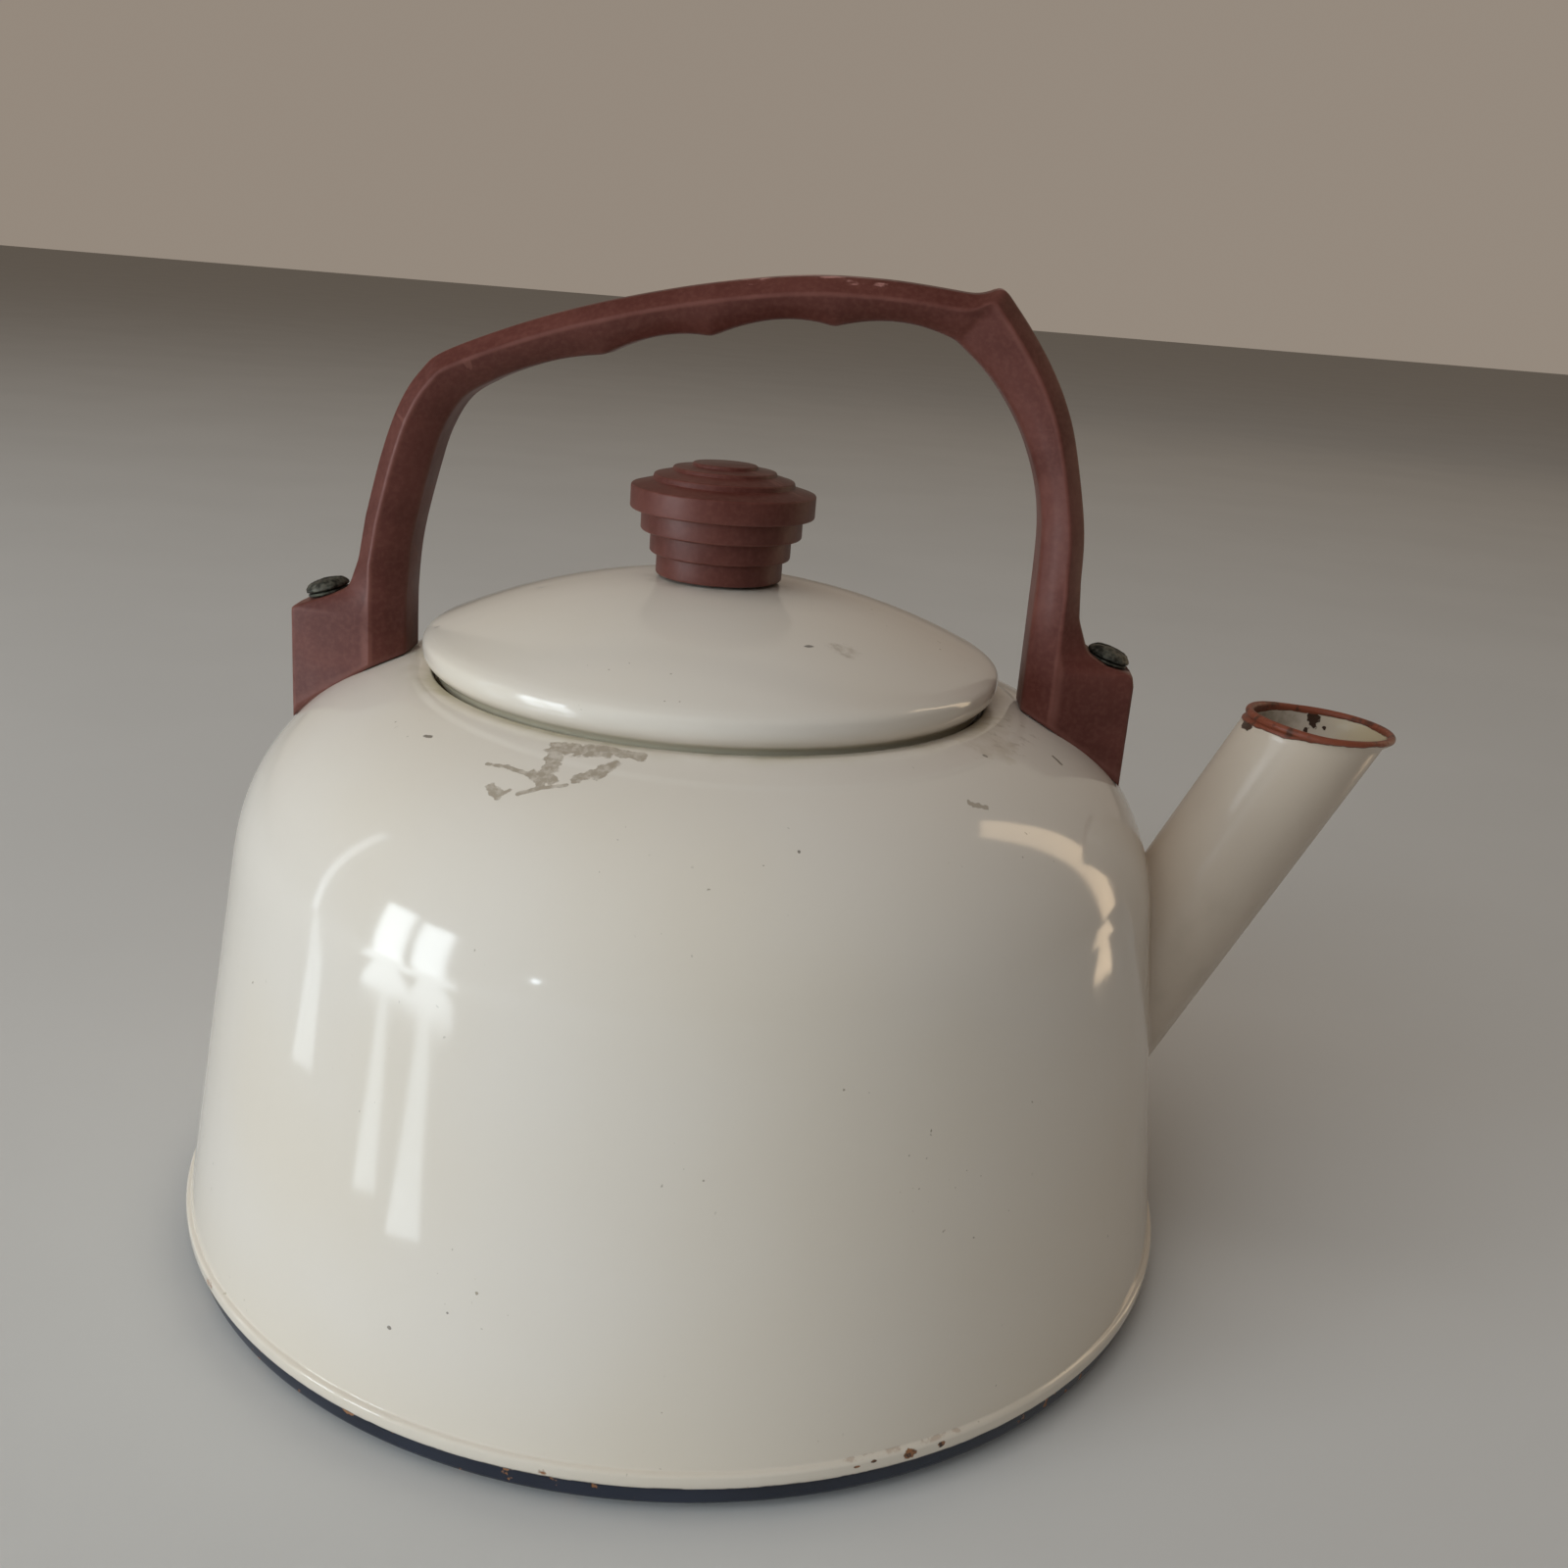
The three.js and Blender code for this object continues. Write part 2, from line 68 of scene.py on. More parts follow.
RIM = body_high.x             # radius of the foot flange
FOOT = body_low.z             # underside of the flange
CROWN = body_high.z           # top of the shoulder
MOUTH_RADIUS = 52             # the filling mouth
SHEET = 1.2
TURNED_STEPS = 240
SMALL_STEPS = 128
SCREW_STEPS = 48
SPACING = 2.2                 # longest row of faces on a turned piece

SPOUT_ANGLE = math.radians(63.8)
SPOUT_AXIS = Vector((math.cos(SPOUT_ANGLE), 0, math.sin(SPOUT_ANGLE)))
SPOUT_OUTWARD = Vector((math.sin(SPOUT_ANGLE), 0, -math.cos(SPOUT_ANGLE)))
SIDEWAYS = Vector((0, 1, 0))
SPOUT_FOOT = Vector((RIM - 9, 0, CROWN - 57.8))
SPOUT_ROOT = -45              # where the tube has its root radius, along the axis
SPOUT_ROOT_RADIUS = 13.4
SPOUT_REACH = 80              # where it has its tip radius
SPOUT_TIP_RADIUS = 13.8
SPOUT_MIDDLE_X = (spout_low.x + spout_high.x) / 2
MOUTH_Z = spout_high.z - 0.8
MOUTH_SLOPE = math.tan(math.radians(2.5))
MOUTH_RAISE = 0.8
TIP_X = SPOUT_FOOT.x + (MOUTH_Z - SPOUT_FOOT.z) / SPOUT_AXIS.z * SPOUT_AXIS.x
TIP_HALF = SPOUT_TIP_RADIUS / math.sin(SPOUT_ANGLE)
TIP_LEFT = TIP_X - TIP_HALF
FILLET = 2.4                  # enamel-filled corner round the spout's root
BEAD = 0.85                   # radius of the rolled rim

LID = lid_high.x              # outer radius
LID_FOOT = lid_low.z          # underside of the rolled edge
APEX = lid_high.z
DOME_RADIUS = LID - 2.1       # where the dome meets the edge
DOME_SAG = APEX - (LID_FOOT + 9.3)
DOME_SPHERE = (DOME_RADIUS ** 2 + DOME_SAG ** 2) / (2 * DOME_SAG)
LID_BORE = 2.3

SCREW_TILT = math.radians(17)
SCREW_BORE = 2.8
SEAT_BORE = 5.5
BOSS_BORE = 5.8
BOSS_DEPTH = -8.2
FEET = (("rear", -1), ("spout_side", 1))
WASHER_MIDDLE = 0.6           # of the washer above the faced seat on the ledge

HANDLE_HALF = handle_high.y   # the ridge, the thickest line of the handle
HANDLE_EDGE = 6.2             # half thickness at the outer edge
HANDLE_INNER_EDGE = 5.6
RIDGE_DEPTH = 3.5             # ridge below the outer edge
RIDGE_X = 72                  # the ridge runs straight down the feet here
LEG_TOP = 150                 # the ridge follows the outer edge above this height
STATION = 0.42                # spacing of the handle's sections
FOOT_SECTION_Z = 130
FOOT_ROWS = 10                # sections between that height and the shoulder
FOOT_GAP = 0.35               # between the handle or knob and the enamel under it


# ---- outlines

def bezier(a, b, c, steps):
    """Points of a quadratic curve from a to c, pulled towards b."""
    points = []
    for i in range(steps + 1):
        t = i / steps
        points.append(tuple((1 - t) ** 2 * p + 2 * t * (1 - t) * q + t * t * r for p, q, r in zip(a, b, c)))
    return points


def spline(knots, spacing):
    """A Catmull-Rom curve through the knots."""
    k = [np.array(p, float) for p in knots]
    points = []
    for i in range(len(k) - 1):
        p0, p1, p2, p3 = k[max(i - 1, 0)], k[i], k[i + 1], k[min(i + 2, len(k) - 1)]
        steps = max(2, round(np.linalg.norm(p2 - p1) / spacing))
        for t in np.arange(steps) / steps:
            bend = 2 * p0 - 5 * p1 + 4 * p2 - p3
            twist = 3 * p1 - p0 - 3 * p2 + p3
            points.append(tuple(0.5 * (2 * p1 + (p2 - p0) * t + bend * t * t + twist * t ** 3)))
    points.append(tuple(k[-1]))
    return points


def rounded(corners, closed=False, steps=5):
    """Corners (x, y, radius) of an outline, each radius replaced by an arc."""
    points = []
    count = len(corners)
    for i, (x, y, radius) in enumerate(corners):
        here = Vector((x, y))
        if radius == 0 or (not closed and i in (0, count - 1)):
            points.append((x, y))
            continue
        back = Vector(corners[i - 1][:2]) - here
        ahead = Vector(corners[(i + 1) % count][:2]) - here
        half = back.angle(ahead) / 2
        reach = min(radius / math.tan(half), 0.49 * back.length, 0.49 * ahead.length)
        start = here + back.normalized() * reach
        end = here + ahead.normalized() * reach
        centre = here + (back.normalized() + ahead.normalized()).normalized() * reach / math.cos(half)
        first, last = start - centre, end - centre
        angle = math.atan2(first.y, first.x)
        sweep = (math.atan2(last.y, last.x) - angle + math.pi) % (2 * math.pi) - math.pi
        for s in range(steps + 1):
            turn = angle + sweep * s / steps
            on_arc = (centre.x + first.length * math.cos(turn), centre.y + first.length * math.sin(turn))
            points.append(on_arc)
    return points


def offset(path, distance):
    """A path moved sideways to its left."""
    moved = []
    for i, (x, y) in enumerate(path):
        before, after = Vector(path[max(i - 1, 0)]), Vector(path[min(i + 1, len(path) - 1)])
        along = (after - before).normalized()
        moved.append((x - along.y * distance, y + along.x * distance))
    return moved


def spaced(path, closed=False, spacing=SPACING):
    """The same path with long stretches divided."""
    points = []
    ends = path[1:] + path[:1] if closed else path[1:]
    for (x0, y0), (x1, y1) in zip(path, ends):
        steps = max(1, math.ceil(math.hypot(x1 - x0, y1 - y0) / spacing))
        points += [(x0 + (x1 - x0) * i / steps, y0 + (y1 - y0) * i / steps) for i in range(steps)]
    return points if closed else points + [path[-1]]


def sheet(path, thickness=SHEET):
    """The closed outline of a sheet that follows a path."""
    return path + offset(path, thickness)[::-1]


# ---- meshes

def lathe(outline, steps, closed=True):
    """Turns a (radius, height) outline about Z."""
    bm = bmesh.new()
    turns = [2 * math.pi * i / steps for i in range(steps)]
    rows = []
    for radius, height in outline:
        if radius < 1e-6:
            rows.append([bm.verts.new((0, 0, height * MM))])
            continue
        ring = [Vector((radius * math.cos(a), radius * math.sin(a), height)) for a in turns]
        rows.append([bm.verts.new(point * MM) for point in ring])
    loft(bm, rows, closed)
    return bm


def loft(bm, rows, closed=False, material=0):
    """Quads between neighbouring rows, each row a ring of vertices or one vertex."""
    pairs = list(zip(rows, rows[1:]))
    if closed:
        pairs.append((rows[-1], rows[0]))
    for one, two in pairs:
        count = max(len(one), len(two))
        for i in range(count):
            j = (i + 1) % count
            ring = [one[i % len(one)], one[j % len(one)], two[j % len(two)], two[i % len(two)]]
            ring = list(dict.fromkeys(ring))
            if len(ring) > 2:
                bm.faces.new(ring).material_index = material


def to_object(bm, name):
    bmesh.ops.recalc_face_normals(bm, faces=bm.faces)
    mesh = bpy.data.meshes.new(name)
    bm.to_mesh(mesh)
    bm.free()
    mesh.polygons.foreach_set("use_smooth", [True] * len(mesh.polygons))
    made = bpy.data.objects.new(name, mesh)
    bpy.context.scene.collection.objects.link(made)
    return made


def carve(piece, cutters):
    """Cuts solids away from a piece and keeps the result as its mesh."""
    for cutter in cutters:
        cut = piece.modifiers.new("cut", "BOOLEAN")
        cut.operation = "DIFFERENCE"
        cut.solver = "EXACT"
        cut.object = cutter
    bpy.context.view_layer.update()
    graph = bpy.context.evaluated_depsgraph_get()
    carved = bpy.data.meshes.new_from_object(piece.evaluated_get(graph))
    carved.name = piece.name
    piece.modifiers.clear()
    piece.data = carved
    for cutter in cutters:
        bpy.data.objects.remove(cutter)


def rod(radius, bottom, top, placing, steps=SCREW_STEPS):
    """A cutting cylinder, modelled about Z and then placed."""
    outline = [(0, bottom), (radius, bottom), (radius, top), (0, top)]
    cutter = to_object(lathe(outline, steps, False), "cutter")
    cutter.data.transform(placing)
    return cutter


def placed(origin, axis):
    """The transform that stands something modelled about Z on origin, along axis (mm)."""
    turn = Vector((0, 0, 1)).rotation_difference(axis).to_matrix().to_4x4()
    return Matrix.Translation(origin * MM) @ turn


def finish(piece, body, slot, materials, *nodes):
    """Dresses a piece, parents it to the empty of its body and hides the CAD nodes it replaces; slot is not
    used.
    """
    for material in materials:
        piece.data.materials.append(material)
    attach(piece, body)
    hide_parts(*nodes)


# ---- shader helpers

def rgba(colour):
    return (*colour, 1.0) if isinstance(colour, tuple) else colour


class Shader:
    """A Principled material whose patterns are laid out in millimetres in the CAD frame."""

    def __init__(self, name, roughness=0.5, metallic=0.0):
        self.material = bpy.data.materials.new(name)
        self.material.use_nodes = True
        self.tree = self.material.node_tree
        self.surface = self.tree.nodes["Principled BSDF"]
        self.surface.inputs["Roughness"].default_value = roughness
        self.surface.inputs["Metallic"].default_value = metallic
        where = self.node("ShaderNodeTexCoord").outputs["Object"]
        self.place = self.vector("SCALE", where, scale=1 / MM)
        parts = self.node("ShaderNodeSeparateXYZ", {0: self.place})
        self.x, self.y, self.z = parts.outputs
        flat = self.node("ShaderNodeCombineXYZ", {0: self.x, 1: self.y}).outputs[0]
        self.radius = self.vector("LENGTH", flat)
        self.colour = None

    def node(self, kind, inputs=None, **settings):
        made = self.tree.nodes.new(kind)
        for key, value in settings.items():
            setattr(made, key, value)
        for key, value in (inputs or {}).items():
            if isinstance(value, bpy.types.NodeSocket):
                self.tree.links.new(value, made.inputs[key])
            else:
                made.inputs[key].default_value = value
        return made

    def vector(self, operation, a, b=None, scale=None):
        inputs = {0: a}
        if b is not None:
            inputs[1] = b
        if scale is not None:
            inputs["Scale"] = scale
        made = self.node("ShaderNodeVectorMath", inputs, operation=operation)
        return made.outputs["Value" if operation in ("LENGTH", "DOT_PRODUCT") else "Vector"]

    def calc(self, operation, a, b=0.0):
        return self.node("ShaderNodeMath", {0: a, 1: b}, operation=operation).outputs[0]

    def noise(self, size, detail=3.0, stretch=(1, 1, 1), shift=0.0):
        """Noise from 0 to 1 with features of about size millimetres."""
        at = self.vector("MULTIPLY", self.place, tuple(s / size for s in stretch))
        at = self.vector("ADD", at, (shift, shift, shift))
        return self.node("ShaderNodeTexNoise", {"Vector": at, "Scale": 1.0, "Detail": detail}).outputs["Fac"]

    def ramp(self, value, low, high, start=0.0, end=1.0):
        """Goes smoothly from start to end as value goes from low to high."""
        inputs = {"Value": value, "From Min": low, "From Max": high, "To Min": start, "To Max": end}
        made = self.node("ShaderNodeMapRange", inputs, interpolation_type="SMOOTHSTEP")
        return made.outputs["Result"]

    def mix(self, share, a, b):
        inputs = {"Factor": share, 6: rgba(a), 7: rgba(b)}
        return self.node("ShaderNodeMix", inputs, data_type="RGBA").outputs[2]

    def lay(self, colour, *masks):
        """Lays a colour over what is there, where the product of the masks is 1."""
        self.colour = self.mix(self.both(*masks), self.colour, colour)

    def coat(self, roughness):
        """Gives the surface the colour laid so far, and this roughness."""
        self.tree.links.new(self.colour, self.surface.inputs["Base Color"])
        self.tree.links.new(roughness, self.surface.inputs["Roughness"])

    def wobble(self, grain, reach):
        """Noise about zero that reaches about this far to each side."""
        return self.calc("MULTIPLY", self.calc("SUBTRACT", self.noise(grain, 4.0), 0.5), reach * 2)

    def patch(self, centre, size, ragged=0.6, grain=3.0, turn=0.0):
        """1 inside a ragged patch about a point, 0 outside it."""
        away = self.vector("SUBTRACT", self.place, centre)
        if turn:
            inputs = {"Vector": away, "Angle": math.radians(turn)}
            away = self.node("ShaderNodeVectorRotate", inputs, rotation_type="Z_AXIS").outputs[0]
        away = self.vector("DIVIDE", away, size)
        distance = self.calc("ADD", self.vector("LENGTH", away), self.wobble(grain, ragged))
        return self.ramp(distance, 1.0, 0.8)

    def stroke(self, start, end, half_width, ragged=0.5, grain=1.5):
        """1 along a ragged stroke between two (x, y) points, at any height."""
        span = Vector((end[0] - start[0], end[1] - start[1], 0))
        away = self.vector("MULTIPLY", self.vector("SUBTRACT", self.place, (*start, 0)), (1, 1, 0))
        along = self.vector("DOT_PRODUCT", away, tuple(span / span.length_squared))
        along = self.calc("MAXIMUM", self.calc("MINIMUM", along, 1.0), 0.0)
        away = self.vector("SUBTRACT", away, self.vector("SCALE", tuple(span), scale=along))
        distance = self.calc("DIVIDE", self.vector("LENGTH", away), half_width)
        return self.ramp(self.calc("ADD", distance, self.wobble(grain, ragged * 2)), 1.1, 0.85)

    def most(self, *masks):
        total = masks[0]
        for mask in masks[1:]:
            total = self.calc("MAXIMUM", total, mask)
        return total

    def both(self, *masks):
        total = masks[0]
        for mask in masks[1:]:
            total = self.calc("MULTIPLY", total, mask)
        return total

    def bump(self, *layers):
        """Layers are (height from 0 to 1, depth in mm)."""
        normal = None
        for height, depth in layers:
            inputs = {"Height": height, "Distance": depth * MM, "Strength": 1.0}
            if normal is not None:
                inputs["Normal"] = normal
            normal = self.node("ShaderNodeBump", inputs).outputs["Normal"]
        self.tree.links.new(normal, self.surface.inputs["Normal"])


# ---- enamel

CREAM = (0.765, 0.70, 0.62)
WARM_CREAM = (0.73, 0.635, 0.50)
SPOUT_PAINTED_SHADE_CREAM = (0.47, 0.37, 0.275)
LID_EDGE_CREAM = (0.70, 0.62, 0.42)
PIT = (0.40, 0.34, 0.26)
STAIN = (0.36, 0.295, 0.22)
DRIED_WATER = (0.50, 0.44, 0.30)
STEAM_FILM = (0.46, 0.38, 0.26)
SPOUT_FILM = (0.52, 0.40, 0.20)
GREASE_HAZE = (0.44, 0.34, 0.20)
GRIME = (0.34, 0.26, 0.18)
SOOT = (0.22, 0.17, 0.11)
LID_SEAT_PAINTED_SHADE = (0.12, 0.085, 0.045)
LID_EDGE_PAINTED_SHADE = (0.16, 0.12, 0.07)
SPECK = (0.14, 0.11, 0.08)
LID_SPECK = (0.10, 0.085, 0.07)
RUST = (0.31, 0.135, 0.055)
DARK_RUST = (0.045, 0.022, 0.013)
RED_RIM = (0.20, 0.05, 0.024)
NAVY = (0.010, 0.014, 0.026)
NAVY_BLOOM = (0.018, 0.024, 0.042)
SCORCH = (0.06, 0.045, 0.032)

# Dried drips on the front of the shoulder: start and end (x, y) and half width of each stroke.
DRIPS = (
    ((-21.5, -62.5), (-12, -63), 2.0),
    ((-12, -63), (-6, -64.3), 1.2),
    ((-21.5, -63.5), (-21.5, -67.5), 1.7),
    ((-21.5, -68), (-24, -69.3), 1.1),
    ((-24.5, -69), (-20.8, -70.6), 1.2),
    ((-23, -70), (-22.3, -71.8), 0.8),
    ((-33.4, -65.3), (-29.7, -66.6), 0.4),
    ((-29.7, -66.6), (-25.5, -68.8), 0.45),
    ((-26.2, -73.2), (-22.2, -72.3), 0.45),
    ((-22.2, -72.3), (-18, -71.9), 0.4),
    ((-16.5, -70.4), (-13.5, -69.2), 1.1),
    ((-13.5, -69.2), (-10.8, -66.8), 1.3),
    ((-31.5, -70.9), (-29.5, -72.9), 0.9),
    ((-29.2, -73), (-27.8, -72.2), 0.45),
)


def cream_base(shader):
    """Cream with slow drifts of warmth, and a few groups of fine pits."""
    drifts = shader.mix(shader.ramp(shader.noise(70, 2), 0.35, 0.7), CREAM, WARM_CREAM)
    shader.colour = shader.mix(0.6, drifts, CREAM)
    pits = shader.ramp(shader.noise(1.3, 1, shift=7), 0.75, 0.80)
    groups = shader.ramp(shader.noise(26, 1, shift=3), 0.58, 0.66)
    shader.lay(PIT, pits, groups)


def enamel_bump(shader, *extra):
    """The slow swell and fine ripple of fired enamel, then any layers of the piece's own."""
    swell = (shader.noise(45, 1), 0.16)
    ripple = (shader.noise(7, 1, shift=2), 0.014)
    grain = (shader.noise(1.6, 2), 0.0022)
    shader.bump(swell, ripple, grain, *extra)


def shoulder_marks(shader):
    """Lays the drips, grime and specks of the body, and says where they dull it."""
    shoulder_band = shader.ramp(shader.z, CROWN - 11.8, CROWN - 9.8)
    drips = [shader.stroke(*drip) for drip in DRIPS]
    stains = shader.both(shader.most(*drips), shoulder_band)
    shader.lay(STAIN, stains, shader.ramp(shader.noise(1.6, 4), 0.3, 0.6, 0.45, 0.9))
    haze = shader.patch((55, -28, 122.5), (9, 15, 7), 0.9, 7)
    shader.lay(GREASE_HAZE, haze, shader.ramp(shader.noise(4, 4), 0.3, 0.75, 0.05, 0.28))
    grime = shader.both(
        shader.patch((61, -22, 122), (10, 12, 7), 0.9, 6),
        shader.ramp(shader.noise(2.2, 5, shift=5), 0.52, 0.75, 0, 0.4),
    )
    shader.lay(GRIME, grime)
    shader.lay(STAIN, shader.stroke((53, -56.1), (56.2, -55.1), 0.55, 0.7, 1.0), shoulder_band, 0.75)
    marks = shader.most(
        shader.both(shader.stroke((71.7, -23.9), (73.0, -24.9), 0.5, 0.2, 1.0), shoulder_band),
        shader.patch((56.5, -38.8, 121.9), (0.6, 0.5, 2), 0.4, 0.8),
        shader.patch((-47, -54.3, 120.4), (1.2, 0.5, 2), 0.8, 1.0, 30),
        shader.patch((-40.9, -98.6, 25.4), (0.45, 2, 0.5), 0.5, 0.8),
        shader.patch((-29.9, -101.6, 31.9), (0.25, 2, 0.25), 0.5, 0.8),
        shader.patch((23.2, -79.5, 113.8), (0.3, 0.3, 1), 0.5, 0.8),
    )
    shader.lay(SPECK, marks, shader.ramp(shader.noise(0.9), 0.2, 0.5, 0.4, 0.85))
    return shader.most(stains, grime, marks)


def flange_rust(shader):
    """Lays the rust round the foot of the body, and says where it is."""
    spots = shader.most(
        shader.patch((52.5, -96.7, FOOT + 2.4), (1.5, 1.5, 0.9), 0.9, 0.9),
        shader.patch((58.2, -93.3, FOOT + 2.4), (1.0, 1.0, 0.6), 0.9, 0.8),
        shader.patch((46, -99.9, FOOT + 2.8), (0.7, 0.7, 0.3), 0.8, 0.8),
        shader.patch((43, -101.2, FOOT + 2.4), (0.6, 0.6, 0.25), 0.8, 0.8),
    )
    crack = shader.both(
        shader.stroke((42, -101.5), (61, -91.5), 1.6),
        shader.ramp(shader.z, FOOT + 3.2, FOOT + 3.5),
        shader.ramp(shader.z, FOOT + 4.0, FOOT + 3.7),
        shader.ramp(shader.noise(1.8, 4), 0.5, 0.62, 0, 0.35),
    )
    elsewhere = shader.both(
        shader.ramp(shader.z, FOOT + 3.6, FOOT + 2.2),
        shader.ramp(shader.noise(9, 5, shift=11), 0.66, 0.7),
        shader.ramp(shader.noise(1.3, 4), 0.47, 0.56),
    )
    rust = shader.most(spots, crack, elsewhere)
    shader.lay(RUST, rust)
    shader.lay(DARK_RUST, spots, shader.ramp(shader.noise(0.9, 3), 0.42, 0.58))
    return rust


def body_enamel():
    shader = Shader("body_enamel")
    cream_base(shader)
    crown = shader.ramp(shader.z, CROWN - 8.8, CROWN - 3.8)
    seat = shader.ramp(shader.radius, 67, 58)
    shader.lay(DRIED_WATER, seat, crown, shader.ramp(shader.noise(11), 0.3, 0.75))
    # Painted shade: a dark ring on the seat where the lid's rolled edge meets the shoulder.
    shader.lay(LID_SEAT_PAINTED_SHADE, shader.ramp(shader.radius, 59.6, 58.6), crown)
    marked = shoulder_marks(shader)
    shader.lay(WARM_CREAM, shader.ramp(shader.z, FOOT + 24, FOOT), 0.4)
    rust = flange_rust(shader)
    edge = shader.ramp(shader.z, FOOT + 1.1, FOOT + 0.4)
    chips = shader.both(edge, shader.ramp(shader.noise(6, 5, shift=4), 0.46, 0.56))
    shader.lay(NAVY, chips)
    gloss = shader.ramp(shader.noise(30), 0.3, 0.7, 0.07, 0.12)
    shader.coat(shader.ramp(shader.most(marked, rust), 0, 1, gloss, 0.5))
    ring_centre = (3, -7, 0)
    from_centre = shader.vector("MULTIPLY", shader.vector("SUBTRACT", shader.place, ring_centre), (1, 1, 0))
    pressed_ring = shader.ramp(shader.vector("LENGTH", from_centre), 64.2, 62.2)
    pressed_ring = shader.both(pressed_ring, shader.ramp(shader.z, CROWN - 11.8, CROWN - 7.8))
    intact = shader.calc("SUBTRACT", 1.0, shader.most(rust, chips))
    enamel_bump(shader, (intact, 0.12), (pressed_ring, 0.18))
    return shader.material


def lid_enamel():
    shader = Shader("lid_enamel")
    cream_base(shader)
    shader.lay(LID_EDGE_CREAM, shader.ramp(shader.z, LID_FOOT + 3.6, LID_FOOT + 1.6), 0.7)
    # Painted shade: a dark band round the underside of the rolled edge, where it meets the shoulder.
    shader.lay(
        LID_EDGE_PAINTED_SHADE,
        shader.ramp(shader.z, LID_FOOT + 0.7, LID_FOOT),
        shader.ramp(shader.z, LID_FOOT - 1.2, LID_FOOT - 0.2),
        shader.ramp(shader.noise(5), 0.25, 0.6),
    )
    below = shader.ramp(shader.z, LID_FOOT, LID_FOOT - 1.5)
    shader.lay(STEAM_FILM, below, shader.ramp(shader.noise(6, 4), 0.3, 0.8), 0.35)
    shader.lay(STAIN, shader.ramp(shader.radius, 17, 12.5), shader.ramp(shader.noise(6), 0.3, 0.7), 0.55)
    smudge = shader.both(
        shader.patch((27.8, -31.2, 138.2), (3.4, 2.4, 3), 0.9, 2),
        shader.ramp(shader.noise(1.2), 0.35, 0.65),
    )
    shader.lay(STAIN, smudge, 0.45)
    marks = shader.most(
        shader.patch((21, -33.6, 138.9), (1.1, 0.5, 2), 0.5, 0.9, -30),
        shader.patch((-37.1, -3.4, 139.7), (1.0, 0.6, 2), 0.6, 0.9),
        shader.patch((-56, -14.6, 131.9), (0.7, 0.5, 2), 0.6, 0.9),
    )
    shader.lay(LID_SPECK, marks, 0.75)
    gloss = shader.ramp(shader.noise(25), 0.3, 0.7, 0.08, 0.15)
    shader.coat(shader.ramp(shader.most(marks, smudge), 0, 1, gloss, 0.45))
    enamel_bump(shader)
    return shader.material


def spout_base(name):
    """The spout's cream, darkened and browned as painted shade, the height in mm over its uneven mouth, and
    where that is red.
    """
    shader = Shader(name)
    cream_base(shader)
    # Painted shade: the whole spout, inside and out, is darkened and browned.
    shader.lay(SPOUT_PAINTED_SHADE_CREAM, 0.75)
    slope = shader.calc("MULTIPLY", shader.calc("SUBTRACT", shader.x, SPOUT_MIDDLE_X), MOUTH_SLOPE)
    height = shader.calc("ADD", shader.calc("SUBTRACT", shader.z, MOUTH_Z), slope)
    uneven = shader.calc("MULTIPLY", shader.calc("SUBTRACT", shader.noise(4.5, 3), 0.5), 1.6)
    height = shader.calc("ADD", height, uneven)
    height = shader.calc("ADD", height, shader.ramp(shader.x, TIP_X - 2, TIP_LEFT, 0, 0.6))
    return shader, height, shader.ramp(height, -1.0, -0.8)


def spout_coat(shader, rough):
    """Finishes either side of the spout: rough is where bare or reddened iron shows."""
    shader.coat(shader.ramp(rough, 0, 1, 0.24, 0.48))
    enamel_bump(shader, (shader.both(rough, shader.noise(1.1, 4)), 0.2))
    return shader.material


def spout_enamel():
    shader, height, reddened = spout_base("spout_enamel")
    shader.lay(STAIN, shader.ramp(shader.z, 96, 80), shader.ramp(shader.noise(8), 0.4, 0.8), 0.25)
    shader.lay(DARK_RUST, shader.patch((TIP_LEFT - 0.3, -2.5, MOUTH_Z - 1.5), (1.3, 2.4, 1.0), 1.0, 1.2))
    shader.lay(RED_RIM, reddened)
    worn = shader.both(reddened, shader.ramp(shader.noise(3.2, 5, shift=9), 0.54, 0.66))
    edge = shader.both(reddened, shader.ramp(height, -0.6, -0.9))
    shader.lay(DARK_RUST, shader.most(worn, edge), 0.8)
    return spout_coat(shader, reddened)


def spout_inside():
    shader, height, reddened = spout_base("spout_inside")
    shader.lay(SPOUT_FILM, shader.ramp(shader.x, TIP_X, TIP_X + TIP_HALF), 0.6)
    soot = shader.patch((TIP_X - 6, 10, MOUTH_Z - 4), (6, 8, 3.5), 0.9, 3)
    shader.lay(SOOT, soot, shader.ramp(shader.noise(2, 4), 0.3, 0.7), 0.4)
    chips = shader.most(
        shader.patch((TIP_X + 2.6, 12.5, MOUTH_Z - 2.6), (1.3, 6, 2.4), 1.2, 1.1),
        shader.patch((TIP_X + 1.2, 12.5, MOUTH_Z - 5.2), (0.6, 6, 0.7), 1.0, 0.8),
        shader.patch((TIP_X + 4.8, 12.5, MOUTH_Z - 4.0), (0.45, 6, 0.45), 1.0, 0.8),
        shader.both(shader.ramp(height, -12, -20), shader.ramp(shader.noise(7, 5, shift=8), 0.50, 0.58)),
    )
    shader.lay(DARK_RUST, chips)
    shader.lay(RED_RIM, reddened)
    return spout_coat(shader, shader.most(reddened, chips))


